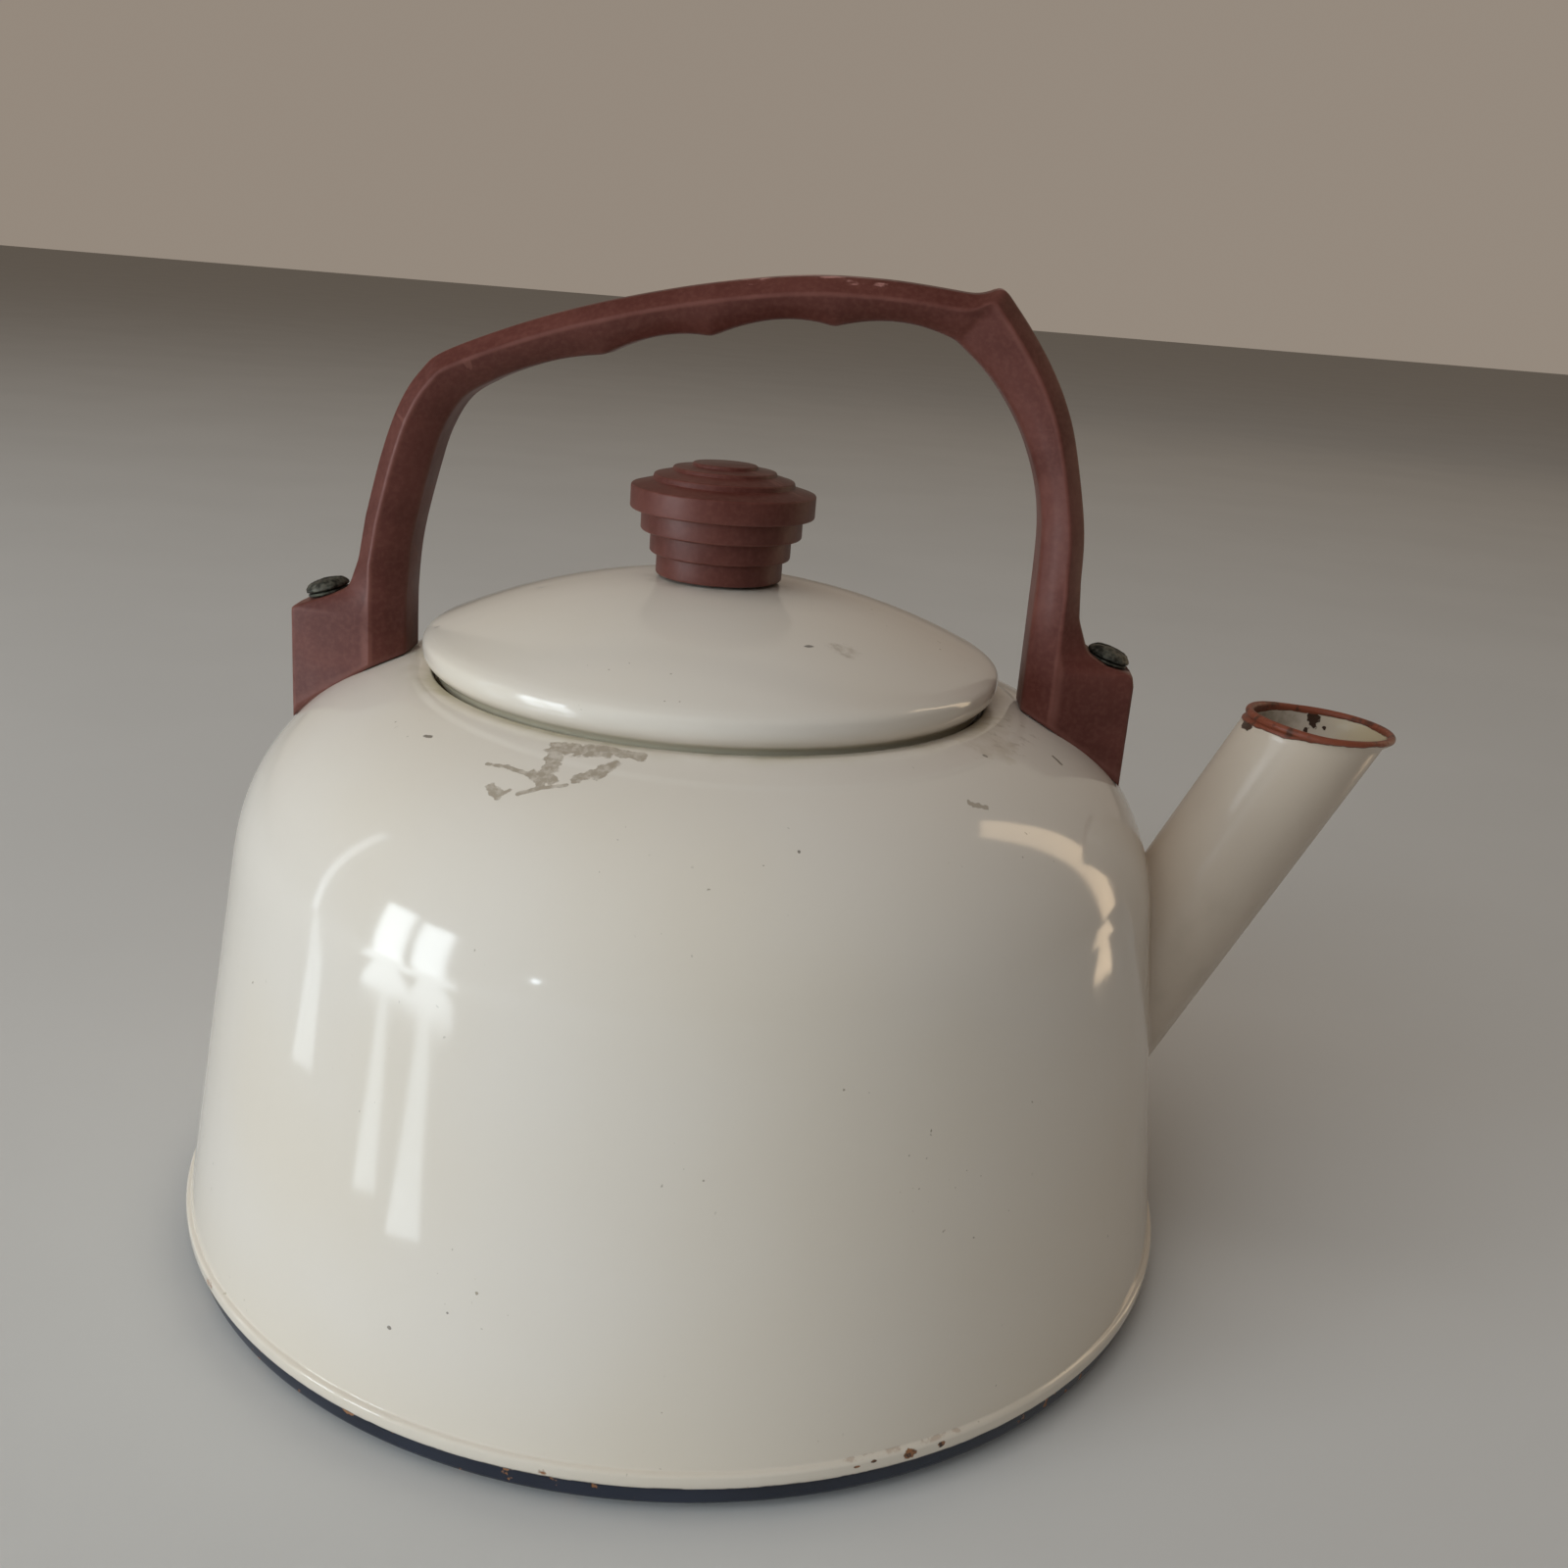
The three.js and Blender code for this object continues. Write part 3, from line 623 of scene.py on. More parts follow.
def navy_enamel():
    shader = Shader("navy_enamel")
    shader.colour = shader.mix(shader.ramp(shader.noise(30), 0.3, 0.7), NAVY, NAVY_BLOOM)
    scorch = shader.both(
        shader.ramp(shader.z, 3, 0.5),
        shader.ramp(shader.noise(24, 5, shift=3), 0.42, 0.62),
    )
    shader.lay(SCORCH, scorch)
    chips = shader.both(
        shader.ramp(shader.radius, 98, 101),
        shader.ramp(shader.noise(4.2, 4, shift=6), 0.63, 0.67),
    )
    shader.lay(RUST, chips)
    shader.coat(shader.ramp(shader.most(scorch, chips), 0, 1, 0.2, 0.6))
    enamel_bump(shader, (shader.calc("SUBTRACT", 1.0, chips), 0.15))
    return shader.material


# ---- other materials

OXBLOOD = (0.088, 0.0225, 0.016)
OXBLOOD_FLOW = (0.118, 0.034, 0.025)
OXBLOOD_HOLLOW_SHADE = (0.035, 0.012, 0.010)
OXBLOOD_WEAR_AND_HIGHLIGHT = (0.21, 0.080, 0.062)
OXBLOOD_SCRAPED = (0.42, 0.20, 0.17)
VERDIGRIS = (0.075, 0.085, 0.055)
FLOOR_PALE = (0.66, 0.65, 0.63)
FLOOR_PALER = (0.68, 0.67, 0.65)


def ridge_wear_and_highlight(shader, ridge):
    """Where hands have paled the side ridges, the heels of the feet and the leg by the spout, which also
    carry a painted highlight there.
    """
    crest = shader.ramp(shader.calc("ABSOLUTE", shader.y), ridge - 0.45, ridge - 0.12)
    heel = shader.both(
        shader.ramp(shader.calc("ABSOLUTE", shader.x), 88.7, 89.5),
        shader.ramp(shader.z, 136, 133),
    )
    rubbed_and_lit = shader.ramp(shader.noise(7, 4, shift=4), 0.3, 0.7, 0.2, 0.65)
    held_and_lit = shader.both(
        shader.patch((70, 0, 160), (9, 14, 24), 0.5, 9),
        shader.ramp(shader.noise(3, 4), 0.2, 0.8, 0.1, 0.4),
    )
    return shader.most(shader.both(shader.most(crest, heel), rubbed_and_lit), held_and_lit)


def phenolic(name, smoothest, scuffs=(), ridge=None):
    """Moulded red-brown phenolic: faint flow mottling, paler where it is worn and on its edges and ridges,
    partly painted highlight, and darker in its hollows, painted shade.
    """
    shader = Shader(name)
    shader.surface.inputs["Specular IOR Level"].default_value = 0.27
    flow = shader.noise(9, 4, (0.5, 1, 1))
    shader.colour = shader.mix(shader.ramp(flow, 0.35, 0.7), OXBLOOD, OXBLOOD_FLOW)
    sharpness = shader.node("ShaderNodeNewGeometry").outputs["Pointiness"]
    rubbed_and_lit = shader.ramp(shader.noise(6, 4), 0.25, 0.6, 0.4, 1)
    # Wear and painted highlight: convex edges paler, as where light catches them.
    shader.lay(OXBLOOD_WEAR_AND_HIGHLIGHT, shader.ramp(sharpness, 0.505, 0.54), rubbed_and_lit, 0.6)
    # Painted shade: concave hollows darker.
    shader.lay(OXBLOOD_HOLLOW_SHADE, shader.ramp(sharpness, 0.49, 0.455), shader.noise(5, 3), 0.6)
    if ridge:
        # Wear and painted highlight along the ridges, the heels and the leg by the spout.
        shader.lay(OXBLOOD_WEAR_AND_HIGHLIGHT, ridge_wear_and_highlight(shader, ridge))
    shader.lay(OXBLOOD_WEAR_AND_HIGHLIGHT, shader.ramp(shader.noise(1.1, 2, shift=6), 0.35, 0.75, 0, 0.22))
    if scuffs:
        scraped = shader.most(*[shader.patch(*scuff) for scuff in scuffs])
        shader.lay(OXBLOOD_SCRAPED, scraped, shader.ramp(shader.noise(1.8, 5, (0.4, 1, 1)), 0.45, 0.6))
    shader.coat(shader.ramp(shader.noise(14, 4), 0.3, 0.7, smoothest, 0.52))
    shader.bump((shader.noise(12, 2), 0.10), (shader.noise(0.8, 3), 0.012))
    return shader.material


def tarnished(name, dark, pale, metallic, rough):
    """Metal or fibre with a patchy, pitted surface and a little green tarnish."""
    shader = Shader(name, metallic=metallic)
    shader.colour = shader.mix(shader.ramp(shader.noise(1.3, 5), 0.35, 0.65), dark, pale)
    shader.lay(VERDIGRIS, shader.ramp(shader.noise(3.1, 4, shift=5), 0.55, 0.7, 0, 0.6))
    shader.coat(shader.ramp(shader.noise(1.1, 4, shift=2), 0.3, 0.7, rough - 0.12, rough + 0.15))
    shader.bump((shader.noise(1.5, 5), 0.22), (shader.noise(0.4, 3), 0.05))
    return shader.material


def floor_finish():
    """Matte, so that the lights don't show in it."""
    shader = Shader("floor_finish", 0.9)
    shader.surface.inputs["Specular IOR Level"].default_value = 0.0
    colour = shader.mix(shader.ramp(shader.noise(160, 3), 0.3, 0.7), FLOOR_PALE, FLOOR_PALER)
    shader.tree.links.new(colour, shader.surface.inputs["Base Color"])
    return shader.material


# ---- body and base pan

shoulder = bezier((RIM - 11.6, CROWN - 37.8), (RIM - 15.5, CROWN - 9.8), (RIM - 47, CROWN), 60)
wall_foot = (RIM - 1.1, FOOT + 4.2)
outside = np.array([wall_foot] + shoulder)


def body_radius(z):
    return float(np.interp(z, outside[:, 1], outside[:, 0]))


def shoulder_height(radius):
    return float(np.interp(-radius, -outside[:, 0], outside[:, 1]))


def make_body():
    seat = rounded([
        (*shoulder[-1], 0),
        (RIM - 50.9, CROWN - 0.35, 0.7),
        (RIM - 51.8, CROWN - 2.0, 0.5),
        (MOUTH_RADIUS + 0.6, CROWN - 2.1, 1.2),
        (MOUTH_RADIUS, CROWN - 12.8, 0),
    ])
    flange = rounded([
        (RIM - 3.6, FOOT, 0),
        (RIM, FOOT, 1.5),
        (RIM, FOOT + 3.3, 1.4),
        (RIM - 1.05, FOOT + 3.7, 0.5),
        (*wall_foot, 0),
    ])
    path = spaced(flange[:-1] + [wall_foot] + shoulder + seat[1:])
    skin = [p for p in path if p[1] >= wall_foot[1]]
    outline = path + offset(skin, SHEET)[::-1] + [(RIM - 3.6, FOOT + 3.4)]
    body = to_object(lathe(outline, TURNED_STEPS), "body")
    spout_way = rod(SPOUT_ROOT_RADIUS - SHEET, SPOUT_ROOT, 20, placed(SPOUT_FOOT, SPOUT_AXIS), SMALL_STEPS)
    carve(body, [spout_way])
    finish(body, "kettle", "enamel_cream", [body_enamel()], "body_shell")


def make_pan():
    flat = RIM - 9
    side = RIM - 4
    lip = pan_high.z
    flange = pan_high.x
    seam = FOOT - 0.3
    outline = rounded([
        (0, 0, 0),
        (flat + 1.5, 0, 2.5),
        (flange - 1.6, 1.3, 1.5),
        (flange, 2.6, 1.2),
        (flange, seam, 0.5),
        (side, seam, 0.2),
        (side, lip, 0.4),
        (side - SHEET, lip, 0.4),
        (side - SHEET, 4.4, 1),
        (side - SHEET - 1.4, 2.6, 1),
        (flat - SHEET, SHEET, 1),
        (0, SHEET, 0),
    ])
    pan = to_object(lathe(spaced(outline), TURNED_STEPS, False), "pan")
    finish(pan, "kettle", "enamel_navy", [navy_enamel()], "base_pan")


# ---- spout

def mouth_height(x):
    t = min(max((x - TIP_LEFT) / TIP_HALF, 0), 1)
    return MOUTH_Z - MOUTH_SLOPE * (x - TIP_X) + MOUTH_RAISE * (1 - t * t * (3 - 2 * t))


def spout_side(turn):
    """The direction straight out of the tube at this turn round its axis."""
    return SPOUT_OUTWARD * math.cos(turn) + SIDEWAYS * math.sin(turn)


def on_spout(turn, along, inset=0.0):
    """A point of the tube's wall."""
    share = (along - SPOUT_ROOT) / (SPOUT_REACH - SPOUT_ROOT)
    radius = SPOUT_ROOT_RADIUS + (SPOUT_TIP_RADIUS - SPOUT_ROOT_RADIUS) * share - inset
    return SPOUT_FOOT + SPOUT_AXIS * along + spout_side(turn) * radius


def outside_body(point):
    return math.hypot(*point.xy) > body_radius(point.z)


def above_mouth(point):
    return point.z > mouth_height(point.x)


def first_along(turn, test, low, high):
    """Where along the tube's wall a test turns from false to true."""
    for _ in range(40):
        middle = (low + high) / 2
        if test(on_spout(turn, middle)):
            high = middle
        else:
            low = middle
    return high


def fillet(turn, clear, share):
    """From the body's skin, pulled through the corner at clear, up the tube."""
    corner = on_spout(turn, clear)
    skin = corner + spout_side(turn) * FILLET
    fit = (body_radius(skin.z) - 0.15) / math.hypot(skin.x, skin.y)
    skin = Vector((skin.x * fit, skin.y * fit, skin.z))
    up = on_spout(turn, clear + FILLET * 1.3)
    return skin.lerp(corner, share).lerp(corner.lerp(up, share), share)


def make_spout():
    steps = 144
    turns = [2 * math.pi * i / steps for i in range(steps)]
    clear = [first_along(a, outside_body, -60, 70) for a in turns]
    top = [first_along(a, above_mouth, 20, 90) for a in turns]
    lip = [on_spout(a, t) for a, t in zip(turns, top)]
    across = []
    for i in range(steps):
        along = lip[(i + 1) % steps] - lip[i - 1]
        across.append(along.cross(Vector((0, 0, 1))).normalized())

    bm = bmesh.new()

    def ring(point):
        """A ring of vertices, from a function of the step round the tube."""
        return [bm.verts.new(point(i) * MM) for i in range(steps)]

    def between(start, end, share, inset=0.0):
        """A ring of the tube this share of the way from start to end, lists of places along it."""
        return ring(lambda i: on_spout(turns[i], start[i] + (end[i] - start[i]) * share, inset))

    outer = [ring(lambda i: fillet(turns[i], clear[i], s / 6)) for s in range(7)]
    fillet_end = [c + FILLET * 1.3 for c in clear]
    neck = [t - 4.0 for t in top]
    outer += [between(fillet_end, neck, s / 34) for s in range(1, 35)]
    for drop, swell in ((3.2, 0.02), (2.7, 0.12)):
        outer.append(ring(lambda i: on_spout(turns[i], top[i] - drop) + across[i] * swell))
    for degrees in range(-65, 206, 18):
        out = BEAD * math.cos(math.radians(degrees)) - 0.05
        up = BEAD * math.sin(math.radians(degrees)) - BEAD
        outer.append(ring(lambda i: lip[i] + across[i] * out + Vector((0, 0, up))))
    throat = [t - 3 for t in top]
    inside_body = [c - 6 for c in clear]
    inner = [outer[-1]] + [between(throat, inside_body, s / 30, SHEET) for s in range(1, 31)]
    root = ring(lambda i: on_spout(turns[i], inside_body[i], 0.2))
    hidden = ring(lambda i: on_spout(turns[i], clear[i] - 1.2, 0.2))
    loft(bm, outer)
    loft(bm, inner + [root, hidden], material=1)
    loft(bm, [hidden, outer[0]])
    spout = to_object(bm, "spout_tube")
    finish(spout, "kettle", "enamel_cream", [spout_enamel(), spout_inside()], "spout")


# ---- lid

def dome_height(radius):
    return APEX - DOME_SPHERE + math.sqrt(DOME_SPHERE ** 2 - radius ** 2)


def make_lid():
    edge = [
        (LID - 3.2, LID_FOOT),
        (LID - 3.1, LID_FOOT + 1.0),
        (LID - 2.7, LID_FOOT + 1.9),
        (LID - 1.5, LID_FOOT + 2.9),
        (LID - 0.4, LID_FOOT + 4.3),
        (LID, LID_FOOT + 6.0),
        (LID - 0.35, LID_FOOT + 7.9),
        (DOME_RADIUS, dome_height(DOME_RADIUS)),
    ]
    steps = 36
    dome = [DOME_RADIUS + (LID_BORE - DOME_RADIUS) * i / steps for i in range(1, steps + 1)]
    path = spline(edge, 0.5) + [(r, dome_height(r)) for r in dome]
    lid = to_object(lathe(spaced(sheet(path), True), TURNED_STEPS), "lid")
    finish(lid, "lid", "enamel_cream", [lid_enamel()], "lid_shell")


def make_collar():
    ledge = collar_high.x
    wall = ledge - 4.8
    path = rounded([
        (wall - 0.7, collar_low.z, 0),
        (wall, collar_low.z + 1.6, 1),
        (wall, collar_low.z + 12.2, 1),
        (ledge, collar_low.z + 13.6, 0.8),
        (ledge, collar_high.z, 0),
    ])
    collar = to_object(lathe(spaced(sheet(path, 1.0), True), TURNED_STEPS), "lid_centring_ring")
    finish(collar, "lid", "enamel_cream", [lid_enamel()], "lid_collar")


# ---- knob

def make_knob():
    """A stack of turned rings that widens to its rim, then steps in to a button."""
    wide = knob_high.x
    base = knob_low.z
    foot = wide - 8
    rising = [(wide - 6, 4.5), (wide - 4.5, 9.0), (wide - 2.4, 13.4), (wide, 18.2)]
    falling = [(wide - 4.7, 20.7), (wide - 8.6, 22.4)]
    button = wide - 12.6
    pocket = 4.3
    corners = [(LID_BORE, dome_height(LID_BORE) + FOOT_GAP, 0), (foot, dome_height(foot) + FOOT_GAP, 0)]
    bottom = 0.0
    for radius, top in rising:
        corners.append((radius, base + bottom, 0.5))
        corners.append((radius, base + top, 0.45))
        bottom = top
        corners.append((radius - 0.9, base + top + 0.05, 0.3))
    corners.pop()
    height = rising[-1][1]
    for radius, top in falling:
        corners.append((radius + 0.25, base + height + (top - height) * 0.5, 0.2))
        corners.append((radius, base + top - 0.1, 0.45))
        height = top
    corners += [(button + 0.2, base + height + 0.3, 0.2), (button, knob_high.z, 0.45), (0, knob_high.z, 0)]
    corners += [(0, base + 13.4, 0), (pocket, base + 13.4, 0)]
    corners += [(pocket, base + 2, 0), (LID_BORE, base + 2, 0)]
    knob = to_object(lathe(rounded(corners, True, 6), SMALL_STEPS), "knob_moulding")
    finish(knob, "lid", "phenolic", [phenolic("knob_phenolic", 0.40)], "knob")


# ---- handle

def handle_curves():
    """Outer and inner edges of the bridge as (x, z) points, from the rear foot to the spout side."""
    foot = FOOT_SECTION_Z - 10
    step = 0.8
    outer = [(-90, foot), (-90, 131.4)]
    outer += rounded([
        (-90, 131.4, 0), (-81.5, 134.7, 3), (-77.6, 136.6, 4), (-75.4, 143, 6), (-73.9, 152, 0),
    ], steps=8)[1:]
    outer += spline([
        (-73.9, 152), (-70.6, 165), (-67, 175.2), (-62.6, 182.3), (-56.5, 187.2),
        (-35.6, 195.6), (-11, 202.4), (12, 206.4), (30, 207), (46.5, 205.8),
    ], step)[1:]
    outer += bezier((46.5, 205.8), (49, 205.7), (51.2, 206.9), 6)[1:]
    outer += bezier((51.2, 206.9), (52.6, 207.6), (53.9, 206.1), 6)[1:]
    outer += spline([
        (53.9, 206.1), (58.8, 200.3), (63.5, 193.8), (67.4, 186.9),
        (70.6, 178.5), (74.4, 162.5), (75.3, 151),
    ], step)[1:]
    outer += rounded([
        (75.3, 151, 0), (76, 143.4, 6), (78.6, 136.6, 4), (83.2, 134, 2), (88.6, 132.8, 1.2), (90, 126, 0),
    ], steps=8)[1:]
    outer.append((90, foot))
    inner = [(-65.4, foot), (-65.2, 136)]
    inner += spline([
        (-65.2, 136), (-64, 148), (-60.4, 163), (-57.7, 171.2), (-53.6, 177.6), (-47, 181.8),
    ], step)[1:]
    cusps = [(-47, 181.8), (-25.4, 188.2), (-4.2, 193.4), (20.1, 197.2), (44.6, 196.4)]
    finger_pulls = [(-36, 187.2), (-14, 194.6), (9, 200), (33, 201.4)]
    for start, pull, end in zip(cusps, finger_pulls, cusps[1:]):
        inner += bezier(start, pull, end, 24)[1:]
    inner += spline([(44.6, 196.4), (53, 189), (60.8, 177.5), (65.4, 163), (66, 142)], step)[1:]
    inner.append((66, foot))
    return eased(outer, 1), eased(inner, 3)


def eased(path, rounds):
    """The path at even spacing, with its corners eased."""
    points = np.array(path, float)
    run = np.concatenate([[0], np.cumsum(np.linalg.norm(np.diff(points, axis=0), axis=1))])
    even = np.arange(0, run[-1], 0.4)
    points = np.stack([np.interp(even, run, points[:, k]) for k in (0, 1)], axis=1)
    for _ in range(rounds * 2):
        points[1:-1] = (points[:-2] + 2 * points[1:-1] + points[2:]) / 4
    return points


def crossing(path, at, along):
    """Where the line from a point first meets a path, as a distance along the line."""
    a, b = path[:-1] - at, path[1:] - at
    side = np.array((-along[1], along[0]))
    over, under = a @ side, b @ side
    met = (over <= 0) != (under <= 0)
    share = over[met] / (over[met] - under[met])
    distance = (a[met] @ along) * (1 - share) + (b[met] @ along) * share
    ahead = distance[distance > 0]
    return float(ahead.min()) if len(ahead) else None


def handle_section(depth, ridge):
    """Half a section as (half thickness, depth below the outer edge) points."""
    return rounded([
        (0, 0, 0),
        (HANDLE_EDGE, 0.3, 1.3),
        (HANDLE_HALF, ridge, 0.9),
        (8.1, ridge + (depth - ridge) * 0.5, 8),
        (HANDLE_INNER_EDGE, depth, 2.6),
        (0, depth, 0),
    ])


def lowered(row, share):
    """A section of a foot, moved this share of the way down to just over the shoulder."""
    moved = []
    for p in row:
        rest = shoulder_height(math.hypot(p.x, p.y)) + FOOT_GAP
        moved.append(Vector((p.x, p.y, p.z + (rest - p.z) * share)))
    return moved


def close_end(bm, row):
    """Closes an end of the handle with faces straight across it."""
    count = len(row)
    for j in range(count // 2):
        corners = [row[j], row[j + 1], row[(count - j - 1) % count], row[(count - j) % count]]
        bm.faces.new(list(dict.fromkeys(corners)))


def make_handle():
    outer, inner = handle_curves()
    spine = np.array(spline([
        (-70, FOOT_SECTION_Z), (-70, 137), (-70, 144), (-69.2, 151), (-65.8, 164), (-61.2, 174.5),
        (-55.2, 181.8), (-44, 188), (-28, 193.3), (-12, 197.7), (4, 201.1), (22, 202.9), (36, 202.9),
        (45, 201.6), (52, 196.4), (58.6, 187.6), (65, 173.6), (69.6, 159), (70.8, 149), (71, 142),
        (71, 136), (71, FOOT_SECTION_Z),
    ], STATION))
    rows = []
    for i, at in enumerate(spine):
        along = spine[min(i + 1, len(spine) - 1)] - spine[max(i - 1, 0)]
        along = along / np.linalg.norm(along)
        out = np.array((-along[1], along[0]))
        to_outer, to_inner = crossing(outer, at, out), crossing(inner, at, -out)
        edge = at + out * to_outer
        ridge = max(RIDGE_DEPTH, abs(edge[0]) - RIDGE_X) if edge[1] < LEG_TOP else RIDGE_DEPTH
        ridge = min(ridge, to_outer + to_inner - 4)
        half = handle_section(to_outer + to_inner, ridge)
        around = half + [(-y, depth) for y, depth in half[-2:0:-1]]
        points = [(edge - out * depth, y) for y, depth in around]
        rows.append([Vector((p[0], y, p[1])) for p, y in points])
    shares = [k / FOOT_ROWS for k in range(1, FOOT_ROWS + 1)]
    rear = [lowered(rows[0], share) for share in reversed(shares)]
    front = [lowered(rows[-1], share) for share in shares]
    bm = bmesh.new()
    made = [[bm.verts.new(p * MM) for p in row] for row in rear + rows + front]
    loft(bm, made)
    close_end(bm, made[0])
    close_end(bm, made[-1])
    handle = to_object(bm, "handle_moulding")
    cutters = []
    for foot, side in FEET:
        placing = placed(*screw_axis(foot, side))
        cutters.append(rod(SCREW_BORE, -40, 40, placing))
        cutters.append(rod(BOSS_BORE, -40, BOSS_DEPTH, placing))
        cutters.append(rod(SEAT_BORE, 0, 12, placing))
    carve(handle, cutters)
    scuffs = [
        ((6, 0, handle_high.z - 1.5), (20, 7, 3), 0.8, 5),
        ((24, -5, handle_high.z - 1.5), (8, 4, 3), 0.8, 4),
        ((52, 0, handle_high.z), (2.5, 7, 2), 0.7, 3),
    ]
    look = phenolic("handle_phenolic", 0.38, scuffs, HANDLE_HALF)
    finish(handle, "kettle", "phenolic", [look], "handle")


# ---- fastenings

def screw_axis(foot, side):
    """The seat's centre on the ledge and the direction out of it."""
    low, high = box_mm(f"handle_washer_{foot}")
    axis = Vector((side * math.sin(SCREW_TILT), 0, math.cos(SCREW_TILT)))
    return (low + high) / 2 - axis * WASHER_MIDDLE, axis


def screw(name, placing, shank, length, head, height, rough):
    """A domed, slotted screw whose head stands on Z = 0; rough is how pitted it is, in mm."""
    outline = rounded([
        (0, -length, 0),
        (shank, -length, 0.5),
        (shank, 0, 0.2),
        (head, 0, 0.3),
        (head, height * 0.25, 0.6),
        (head * 0.78, height * 0.68, 3),
        (0, height * 0.9, 0),
    ])
    made = to_object(lathe(spaced(outline, spacing=0.45), SCREW_STEPS * 2, False), name)
    slot = bmesh.new()
    size = Matrix.Diagonal((3 * head * MM, head * 0.24 * MM, height * 0.7 * MM, 1))
    at_top = Matrix.Translation((0, 0, height * 0.95 * MM))
    bmesh.ops.create_cube(slot, size=1.0, matrix=at_top @ size)
    carve(made, [to_object(slot, "cutter")])
    lumps_per_mm, smoothness, lacunarity, octaves = 0.9, 0.7, 2.1, 4
    for vertex in made.data.vertices:
        if vertex.co.z > 0.05 * MM:
            here = vertex.co / MM
            lump = noise.fractal(here * lumps_per_mm, smoothness, lacunarity, octaves) * rough
            away = Vector((here.x, here.y, here.z * 0.8)).normalized()
            vertex.co += away * lump * MM
    made.data.transform(placing)
    return made


def washer(name, placing, inner, outer, thickness):
    outline = rounded([
        (inner, 0, 0.1), (outer, 0, 0.2), (outer, thickness, 0.2), (inner, thickness, 0.1),
    ], True, 3)
    made = to_object(lathe(outline, SCREW_STEPS * 2), name)
    made.data.transform(placing)
    return made


def make_fastenings():
    corroded = tarnished("corroded_steel", (0.026, 0.025, 0.019), (0.13, 0.122, 0.095), 0.45, 0.58)
    steel = tarnished("dull_steel", (0.12, 0.12, 0.115), (0.30, 0.295, 0.28), 0.9, 0.42)
    washer_foot = 0.3
    washer_top = 1.2
    for foot, side in FEET:
        seat, axis = screw_axis(foot, side)
        placing = placed(seat + axis * washer_top, axis)
        piece = screw(f"foot_screw_{foot}", placing, shank=2.5, length=16, head=4.6, height=2.7, rough=0.12)
        finish(piece, "kettle", "steel", [corroded], f"handle_screw_{foot}")
        placing = placed(seat + axis * washer_foot, axis)
        piece = washer(f"foot_washer_{foot}", placing, inner=2.8, outer=4.4, thickness=0.6)
        finish(piece, "kettle", "steel", [corroded], f"handle_washer_{foot}")
    low, high = box_mm("knob_screw")
    height = 2.0
    placing = placed(Vector((0, 0, low.z + height)), Vector((0, 0, -1)))
    length = high.z - low.z - height
    piece = screw("lid_screw", placing, shank=2.0, length=length, head=3.8, height=height, rough=0.04)
    finish(piece, "lid", "steel", [steel], "knob_screw")
    low, high = box_mm("knob_washer")
    placing = placed(Vector((0, 0, low.z)), Vector((0, 0, 1)))
    piece = washer("lid_washer", placing, inner=2.3, outer=high.x, thickness=high.z - low.z)
    finish(piece, "lid", "steel", [steel], "knob_washer")


def dress_carried_nodes():
    """CAD nodes whose plain shape is right keep it and only get a finish."""
    steel = tarnished("boss_steel", (0.10, 0.10, 0.095), (0.25, 0.245, 0.23), 0.85, 0.5)
    brass = tarnished("insert_brass", (0.30, 0.20, 0.07), (0.55, 0.40, 0.16), 1.0, 0.38)
    fibre = tarnished("washer_fibre", (0.09, 0.045, 0.025), (0.20, 0.11, 0.06), 0.0, 0.85)
    looks = {
        "handle_boss_rear": steel,
        "handle_boss_spout_side": steel,
        "knob_insert": brass,
        "knob_fibre_washer": fibre,
    }
    for node, look in looks.items():
        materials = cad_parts[node].data.materials
        materials.clear()
        materials.append(look)


# ---- studio

LIT_HEIGHT = 70               # the lights face this point above the kettle's underside
STREAK_HEIGHT = 2             # the streaks lie this far over the table


def make_floor():
    half = 12000
    bm = bmesh.new()
    corners = ((-half, -half), (half, -half), (half, half), (-half, half))
    bm.faces.new([bm.verts.new(Vector((x, y, 0)) * MM) for x, y in corners])
    floor = to_object(bm, "floor")
    floor.data.materials.append(floor_finish())


def area_light(name, shape, width, height, colour, radiance):
    """A light the camera doesn't see; radiance is what a white wall there would show."""
    filled = math.pi / 4 if shape == "ELLIPSE" else 1
    data = bpy.data.lights.new(name, "AREA")
    data.shape = shape
    data.size = width * MM
    data.size_y = height * MM
    data.color = colour
    data.energy = radiance * math.pi * data.size * data.size_y * filled
    light = bpy.data.objects.new(name, data)
    light.visible_camera = False
    bpy.context.scene.collection.objects.link(light)
    return light


def panel(name, azimuth, elevation, distance, width, height, colour, radiance, soft=False):
    """A light facing the kettle; a soft one is an ellipse that gloss doesn't mirror."""
    light = area_light(name, "ELLIPSE" if soft else "RECTANGLE", width, height, colour, radiance)
    turn, tilt = math.radians(azimuth), math.radians(elevation)
    out = Vector((math.cos(tilt) * math.cos(turn), math.cos(tilt) * math.sin(turn), math.sin(tilt)))
    light.location = (Vector((0, 0, LIT_HEIGHT)) + out * distance) * MM
    light.rotation_euler = out.to_track_quat("Z", "Y").to_euler()
    light.visible_glossy = not soft
    return light


def streak(name, start, end, width, colour, radiance):
    """A strip on the table between two (x, y) points: a window as a polished top would mirror it."""
    start, end = Vector(start), Vector(end)
    span = end - start
    middle = (start + end) / 2
    light = area_light(name, "RECTANGLE", span.length, width, colour, radiance)
    light.location = Vector((middle.x, middle.y, STREAK_HEIGHT)) * MM
    light.rotation_euler = (math.pi, 0, math.atan2(span.y, span.x))
    light.visible_diffuse = False


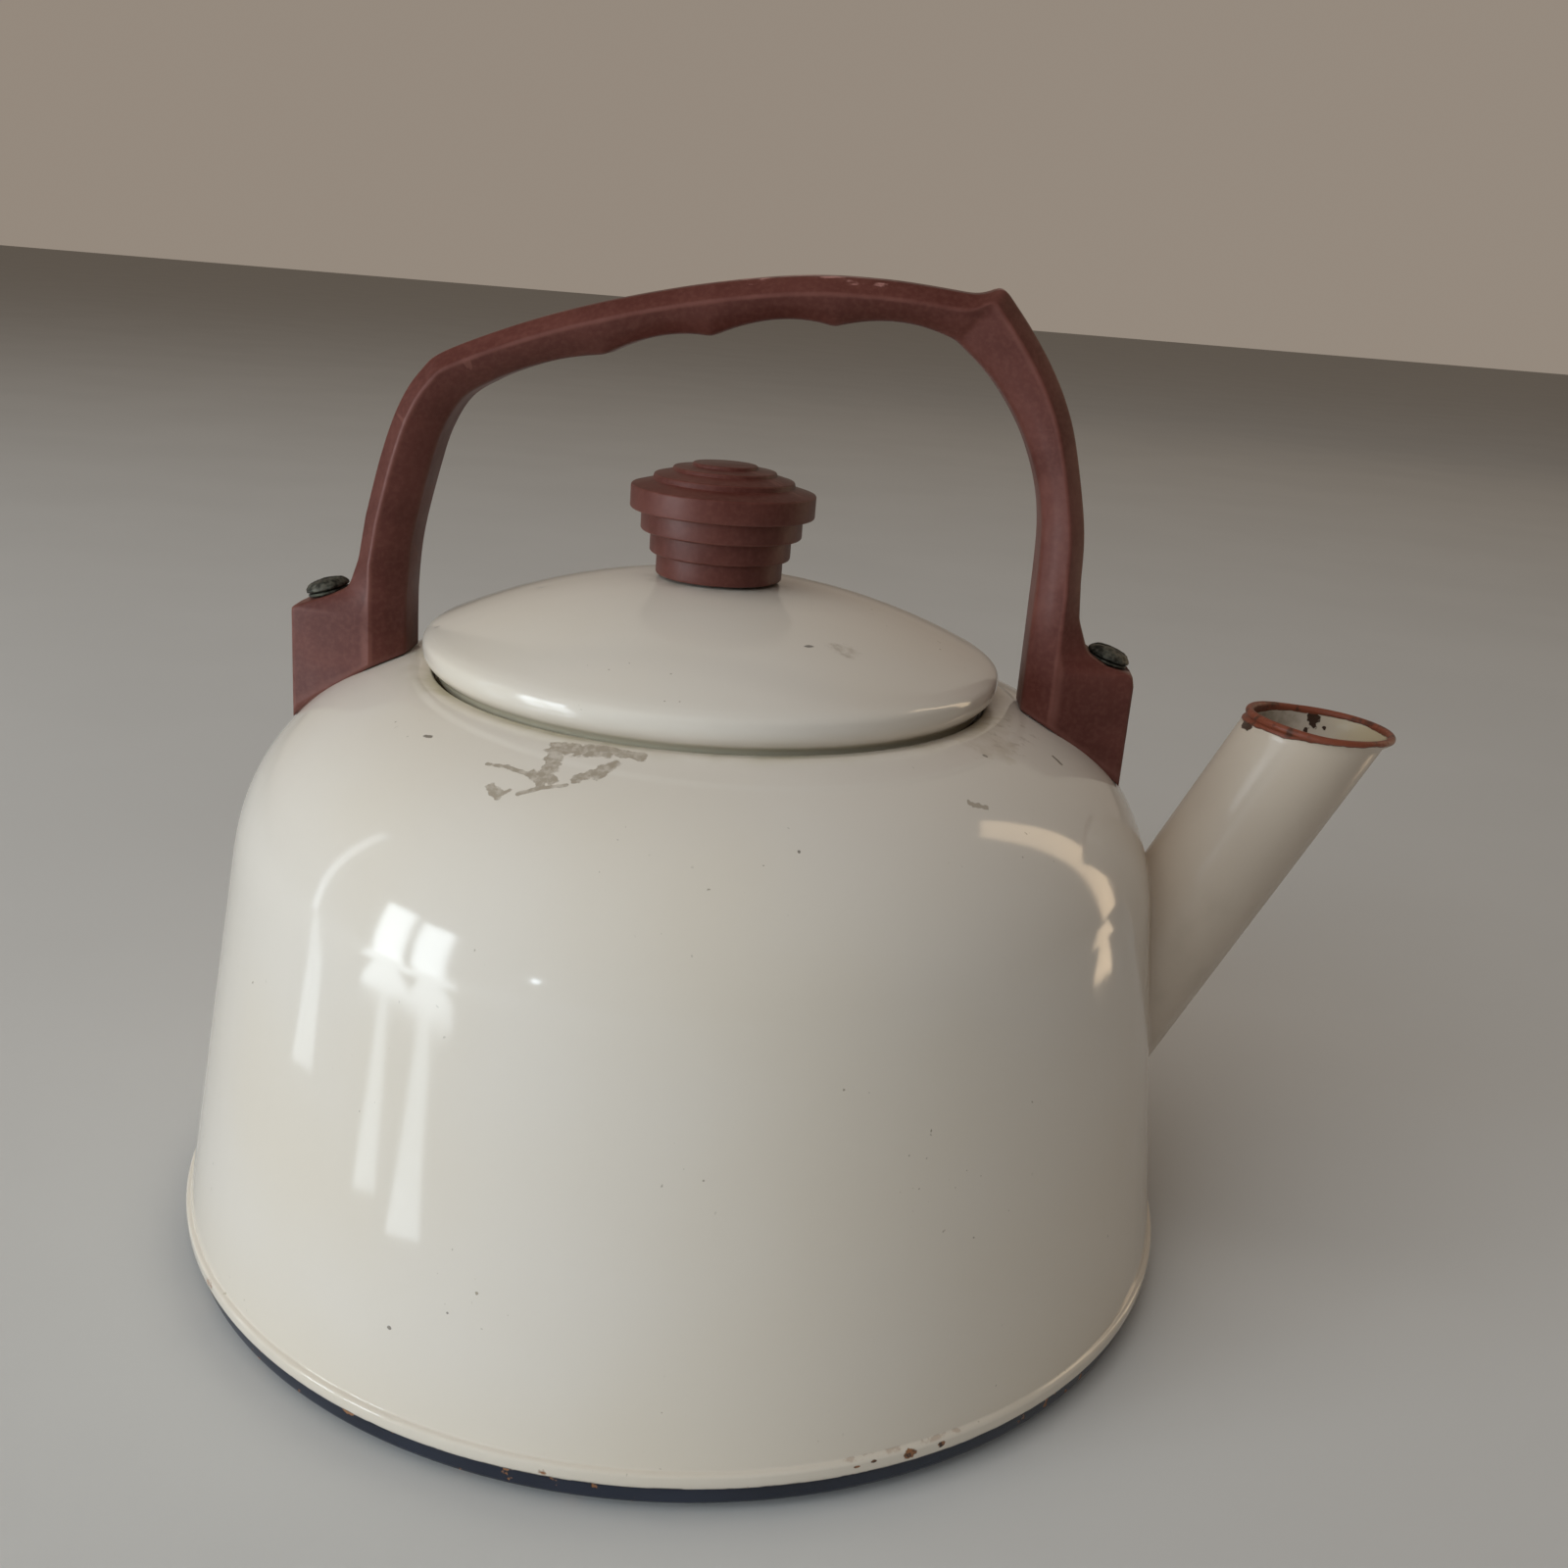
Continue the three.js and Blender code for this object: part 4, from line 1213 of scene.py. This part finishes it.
def make_lights():
    cool, clear, warm = (0.84, 0.94, 1.0), (0.81, 0.94, 1.04), (1.0, 0.76, 0.50)
    panel("window_left", -154.5, 5, 1500, 215, 560, cool, 9.5)
    panel("window_right", -143.5, 4, 1500, 225, 560, cool, 9.5)
    panel("side_window", -178.5, 14, 1500, 60, 1050, cool, 3.2)
    panel("small_lamp", -119, 6, 1500, 40, 40, clear, 25)
    lamp = panel("lamp", 28, 18, 1500, 210, 1500, warm, 3.0)
    lamp.visible_diffuse = False
    streak("left_pane", (-350, -217), (-690, -362), 92, cool, 6)
    streak("left_pane_far", (-690, -362), (-1426, -675), 200, cool, 6)
    streak("left_bar", (-160, -141), (-345, -215), 18, cool, 3)
    streak("right_pane", (-306, -284), (-607, -499), 80, cool, 6)
    streak("right_pane_far", (-607, -499), (-1258, -964), 190, cool, 6)
    streak("right_bar", (-125, -156), (-306, -276), 22, cool, 3.4)
    streak("side_bar", (-245, -79), (-1300, -68), 30, cool, 2)
    streak("lamp_near", (330, 80), (616, 219), 50, warm, 3.0)
    streak("lamp_far", (616, 219), (1195, 514), 120, warm, 3.0)
    panel("soft_left", -126, 24, 2200, 2600, 2000, clear, 1.74, True)
    panel("soft_top", -130, 68, 2600, 2400, 2400, (1.0, 0.96, 0.90), 1.10, True)
    panel("soft_back", 60, 35, 2400, 2400, 1800, warm, 0.12, True)


def make_world():
    """A dim room, brighter on the side the camera faces."""
    world = bpy.data.worlds.new("studio")
    world.use_nodes = True
    nodes, links = world.node_tree.nodes, world.node_tree.links
    background = nodes["Background"]
    background.inputs["Color"].default_value = (1.0, 0.84, 0.69, 1)
    direction = nodes.new("ShaderNodeSeparateXYZ")
    links.new(nodes.new("ShaderNodeTexCoord").outputs["Generated"], direction.inputs[0])
    glow = nodes.new("ShaderNodeMapRange")
    glow.interpolation_type = "SMOOTHSTEP"
    glow.inputs["From Min"].default_value = -0.1
    glow.inputs["From Max"].default_value = 0.9
    glow.inputs["To Min"].default_value = 0.11
    glow.inputs["To Max"].default_value = 0.30
    links.new(direction.outputs["Y"], glow.inputs["Value"])
    links.new(glow.outputs["Result"], background.inputs["Strength"])
    bpy.context.scene.world = world


def make_camera():
    data = bpy.data.cameras.new("camera")
    data.sensor_width = 36
    data.lens = 36
    data.clip_start = 0.01
    camera = bpy.data.objects.new("camera", data)
    place, yaw, pitch, roll = Vector((27, -328, 205)), 1.67, -17.72, 4.7
    camera.matrix_world = (
        Matrix.Translation(place * MM)
        @ Matrix.Rotation(math.radians(yaw), 4, "Z")
        @ Matrix.Rotation(math.radians(90 + pitch), 4, "X")
        @ Matrix.Rotation(math.radians(roll), 4, "Z")
    )
    bpy.context.scene.collection.objects.link(camera)
    bpy.context.scene.camera = camera


make_camera()
make_body()
make_pan()
make_spout()
make_lid()
make_collar()
make_knob()
make_handle()
make_fastenings()
dress_carried_nodes()
make_floor()
make_lights()
make_world()
bpy.context.scene.view_settings.view_transform = "Standard"
